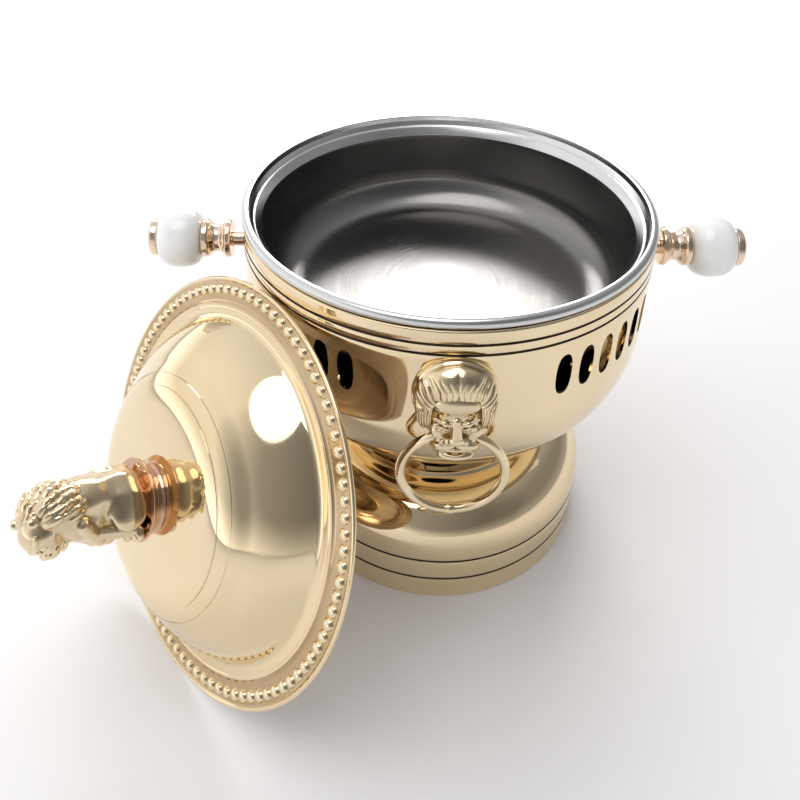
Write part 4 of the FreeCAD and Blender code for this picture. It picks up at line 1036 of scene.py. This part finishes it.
def lion_field(grid):
    """Seated guardian lion in mm: X the way it faces, Y to its left, Z up."""
    p = grid.copy()
    p[..., 1] = np.abs(p[..., 1])
    x, y, z = p[..., 0], p[..., 1], p[..., 2]
    cloak = melt(ball_field(p, (-2.0, 0, 8.0), (13.2, 13.6, 11.5)),
                 ball_field(p, (-3.6, 0, 22.0), (10.6, 12.2, 19.0)), 5)
    fold = np.arctan2(y, -(x + 1.0))
    cloak = cloak + 0.45 * np.abs(np.sin(fold * 4.5)) ** 1.5 * np.clip((27 - z) / 12, 0, 1) * (x < 6)
    body = Clay(p, cloak)
    body.ball((4.6, 0, 24.0), (7.6, 9.6, 12.5), 2.5)
    body.ball((2.6, 9.8, 8.2), (8.8, 3.6, 8.8), 2.0)
    body.rod((9.0, 5.0, 24.0), (11.4, 5.2, 3.4), 3.5, 3.0, 1.0)
    body.ball((13.0, 5.2, 2.6), (3.9, 3.4, 2.7), 0.6)
    for toe in (-1.7, 0.0, 1.7):
        body.cut_rod((16.4, 5.2 + toe * 1.1, 3.6), (13.4, 5.2 + toe, 4.9), 0.34, 0.2, 0.3)
    ruff = Clay(p, ball_field(p, (-2.0, 0, 37.5), (10.8, 12.6, 13.4)))
    ruff.ball((3.2, 0, 31.5), (7.6, 10.5, 7.0), 3)
    body.add(ruff.field, 1.2)
    body.rod((5.5, 8.8, 29.0), (11.0, 4.4, 21.0), 3.0, 2.6, 1.2)
    body.ball((12.2, 3.6, 19.6), (2.8, 2.9, 2.5), 0.4)
    body.ball((11.0, 0, 14.6), (4.3, 4.6, 4.3), 0.3)
    head = Clay(p, ball_field(p, (4.4, 0, 42.6), (8.6, 9.0, 9.2)))
    head.ball((10.4, 0, 39.2), (5.4, 6.0, 4.4), 1.4)
    head.ball((9.2, 0, 34.4), (4.8, 4.9, 2.3), 0.8)
    head.cut_ball((13.2, 0, 36.0), (5.0, 5.2, 0.95), 0.4)
    head.ball((13.8, 0, 42.0), (2.0, 3.1, 1.7), 0.8)
    head.cut_ball((15.3, 1.4, 41.6), (0.9, 0.7, 0.6), 0.3)
    head.rod((11.6, 1.6, 46.4), (7.0, 7.2, 48.4), 1.3, 1.0, 0.7)
    head.cut_ball((12.4, 4.7, 44.4), (3.2, 2.9, 1.9), 0.5)
    head.ball((9.8, 4.7, 44.2), (2.0, 2.0, 1.6), 0.25)
    head.rod((11.4, 3.0, 45.4), (9.0, 6.6, 45.6), 0.5, 0.45, 0.25)
    head.rod((11.4, 2.9, 42.8), (8.8, 6.6, 42.8), 0.5, 0.45, 0.25)
    head.cut_rod((13.6, 3.4, 40.8), (9.2, 7.6, 36.8), 0.5, 0.4, 0.4)
    body.add(head.field, 0.7)
    body.ball((0.6, 8.6, 49.2), (2.2, 1.6, 2.6), 0.5)
    return body.field


def tuft_spots():
    """Places and directions for the mane's locks, evenly over the ruff and down the back."""
    spots = []
    middle, reach = np.array((-2.0, 0, 37.0)), np.array((10.6, 12.4, 13.6))
    for number in range(150):
        height = 1 - 2 * (number + 0.5) / 150
        angle = number * math.pi * (3 - math.sqrt(5))
        flat = math.sqrt(1 - height * height)
        direction = np.array((flat * math.cos(angle), flat * math.sin(angle), height))
        if direction[0] > 0.36 or direction[2] < -0.75:
            continue
        out = direction / reach
        out /= np.linalg.norm(out)
        comb = np.array((-0.55, 0.5 * math.sin(number), -1.0))
        comb -= out * (comb @ out)
        comb /= np.linalg.norm(comb)
        tilt = comb + 0.22 * out
        tilt /= np.linalg.norm(tilt)
        lift = np.cross(tilt, np.cross(out, tilt))
        turn = np.stack([tilt, np.cross(lift, tilt), lift], axis=1).astype(np.float32)
        size = 1 + 0.22 * math.sin(number * 1.7)
        lock = (3.9 * size, 1.55 * size, 1.25 * size)
        spots.append(((middle + direction * reach).astype(np.float32), turn, lock))
    return spots


TUFTS = tuft_spots()


def finial_field(grid):
    body = lion_field(grid)
    near = np.abs(body) < 5.0
    q, best = grid[near], body[near]
    for centre, turn, reach in TUFTS:
        close = np.abs(q - centre).max(axis=-1) < 4.6
        if close.any():
            lock = ball_field(q[close], centre, reach, turn)
            best[close] = melt(best[close], lock, 0.45)
    body[near] = best
    tail = rod_field(grid, (-13.0, 0, 3.5), (-13.8, 1.5, 12.0), 2.0, 1.6)
    tail = melt(tail, rod_field(grid, (-13.8, 1.5, 12.0), (-12.6, -0.5, 19.0), 1.6, 2.2), 0.8)
    body = melt(body, tail, 0.8)
    return np.maximum(body, -(grid[..., 2] + 0.05))


lion_points, lion_faces = surface(finial_field, (-18.0, -16.5, -1.0), (19.5, 16.5, 55.5), 0.36)
lion_points = relax(lion_points, lion_faces, 1, 0.35)
# A little lower than it was sculpted, so that the knob stays inside the solid model's box.
lion_points[:, 2] *= 0.942
LION = LID @ Matrix.Translation((0, 0, (RING_TOP - 0.4) * MM)) @ Matrix.Rotation(math.radians(-50), 4, "Z")
lion = settle(sculpt("guardian_lion", lion_points, lion_faces, brass_cast_painted_shade, LION))
hand_over(lion, "lid", "cast_brass", "lion_finial")

# Kept nodes and finishing

kept = ["tie_washer", "tie_bolt", "tie_bridge", "tie_nut", "finial_washer", "finial_screw",
        "burner_cup", "burner_cover", "damper_rivet", "damper_plate"]
kept += [f"{side}_stud_{piece}" for side in ("right", "left") for piece in ("washer", "nut")]
kept += [f"{side}_mask_{piece}" for side in ("front", "rear") for piece in ("screw", "washer")]
for node in kept:
    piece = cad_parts[node]
    piece.data.materials.clear()
    piece.data.materials.append(steel_plain)

# Stage and view


def pale_floor():
    """A big round of pale card under the pot."""
    material, tree, bsdf = shader("pale_floor", 0.0, 0.6, (0.9, 0.895, 0.9), Specular_IOR_Level=0.25)
    mottled = noise(tree, object_space(tree), 2.2, 2)
    tint(tree, bsdf, mottled, 0.35, 0.65, (0.86, 0.853, 0.86), (0.88, 0.876, 0.88))
    reach, sides = 5000, 96
    turns = [2 * math.pi * i / sides for i in range(sides)]
    points = [(reach * math.cos(turn), reach * math.sin(turn), -0.02) for turn in turns]
    return make_object("floor", points, [tuple(range(sides))], [material])


pale_floor()


def studio_light(name, place, target, size, power, colour, mirrored=True):
    data = bpy.data.lights.new(name, "AREA")
    data.shape = "ELLIPSE"
    data.size, data.size_y = size
    data.energy = power
    data.color = colour
    lamp = bpy.data.objects.new(name, data)
    bpy.context.scene.collection.objects.link(lamp)
    lamp.location = place
    lamp.rotation_euler = (Vector(target) - Vector(place)).to_track_quat("-Z", "Y").to_euler()
    lamp.visible_camera = False
    lamp.visible_glossy = mirrored


studio_light("softbox_back", (-0.05, 1.4, 0.97), (0, 0, 0.14), (1.3, 0.62), 14, (1, 0.99, 0.98))
studio_light("softbox_left", (-1.5, -0.2, 1.1), (0, 0, 0.1), (0.8, 1.3), 4, (0.985, 0.99, 1), False)
studio_light("softbox_top", (-0.25, -0.4, 2.1), (0, -0.1, 0.1), (1.35, 1.7), 10.5, (1, 1, 1))
studio_light("softbox_front", (0.35, -1.5, 1.5), (0, -0.1, 0.0), (1.6, 1.2), 5, (1, 1, 1), False)


def studio_world():
    """A white room: brighter on the left, dimmer on the right and on the wall in front."""
    world = bpy.data.worlds.new("studio")
    world.use_nodes = True
    tree = world.node_tree
    background = tree.nodes["Background"]
    background.inputs["Strength"].default_value = 1.0
    coords = add(tree, "ShaderNodeTexCoord")
    split = add(tree, "ShaderNodeSeparateXYZ")
    tree.links.new(coords.outputs["Generated"], split.inputs[0])
    ramp = add(tree, "ShaderNodeValToRGB")
    elements = ramp.color_ramp.elements
    elements[0].position, elements[0].color = 0.0, (0.86, 0.85, 0.85, 1)
    elements[1].position, elements[1].color = 1.0, (0.55, 0.55, 0.56, 1)
    middle = ramp.color_ramp.elements.new(0.3)
    middle.color = (0.50, 0.495, 0.49, 1)
    tree.links.new(split.outputs["Z"], ramp.inputs["Fac"])
    sideways = remap(tree, split.outputs["X"], -0.75, 0.8, 2.0, 0.5)
    toward = add(tree, "ShaderNodeVectorMath", operation="DOT_PRODUCT")
    tree.links.new(coords.outputs["Generated"], toward.inputs[0])
    toward.inputs[1].default_value = (0.1, -0.78, 0.62)
    dim_wall = remap(tree, toward.outputs["Value"], 0.55, 0.9, 1.0, 0.42)
    both = add(tree, "ShaderNodeMath", operation="MULTIPLY")
    tree.links.new(sideways, both.inputs[0])
    tree.links.new(dim_wall, both.inputs[1])
    shade = add(tree, "ShaderNodeVectorMath", operation="SCALE")
    tree.links.new(ramp.outputs["Color"], shade.inputs[0])
    tree.links.new(both.outputs[0], shade.inputs["Scale"])
    light_path = add(tree, "ShaderNodeLightPath")
    mix = add(tree, "ShaderNodeMix", data_type="RGBA")
    tree.links.new(light_path.outputs["Is Camera Ray"], mix.inputs["Factor"])
    colours = [socket for socket in mix.inputs if socket.type == "RGBA"]
    tree.links.new(shade.outputs[0], colours[0])
    colours[1].default_value = (0.90, 0.895, 0.90, 1)
    tree.links.new(next(out for out in mix.outputs if out.type == "RGBA"), background.inputs["Color"])
    bpy.context.scene.world = world


studio_world()

# The camera was fitted to the photo: its lens, its place and the way it looks.
camera_data = bpy.data.cameras.new("camera")
camera_data.sensor_width = 36
camera_data.lens = 37.627
camera_data.shift_x = 0.02235
camera_data.shift_y = -0.2469
camera_data.clip_start = 0.01
camera = bpy.data.objects.new("camera", camera_data)
bpy.context.scene.collection.objects.link(camera)
right = Vector((0.999794, 0.017506, 0.010258))
above = Vector((-0.017586, 0.495474, 0.868445))
ahead = Vector((-0.010121, 0.868446, -0.495680))
camera.matrix_world = (Matrix.Translation((-0.027821, -0.357158, 0.391555))
                       @ Matrix((right, above, -ahead)).transposed().to_4x4())
bpy.context.scene.camera = camera
bpy.context.scene.view_settings.view_transform = "Standard"
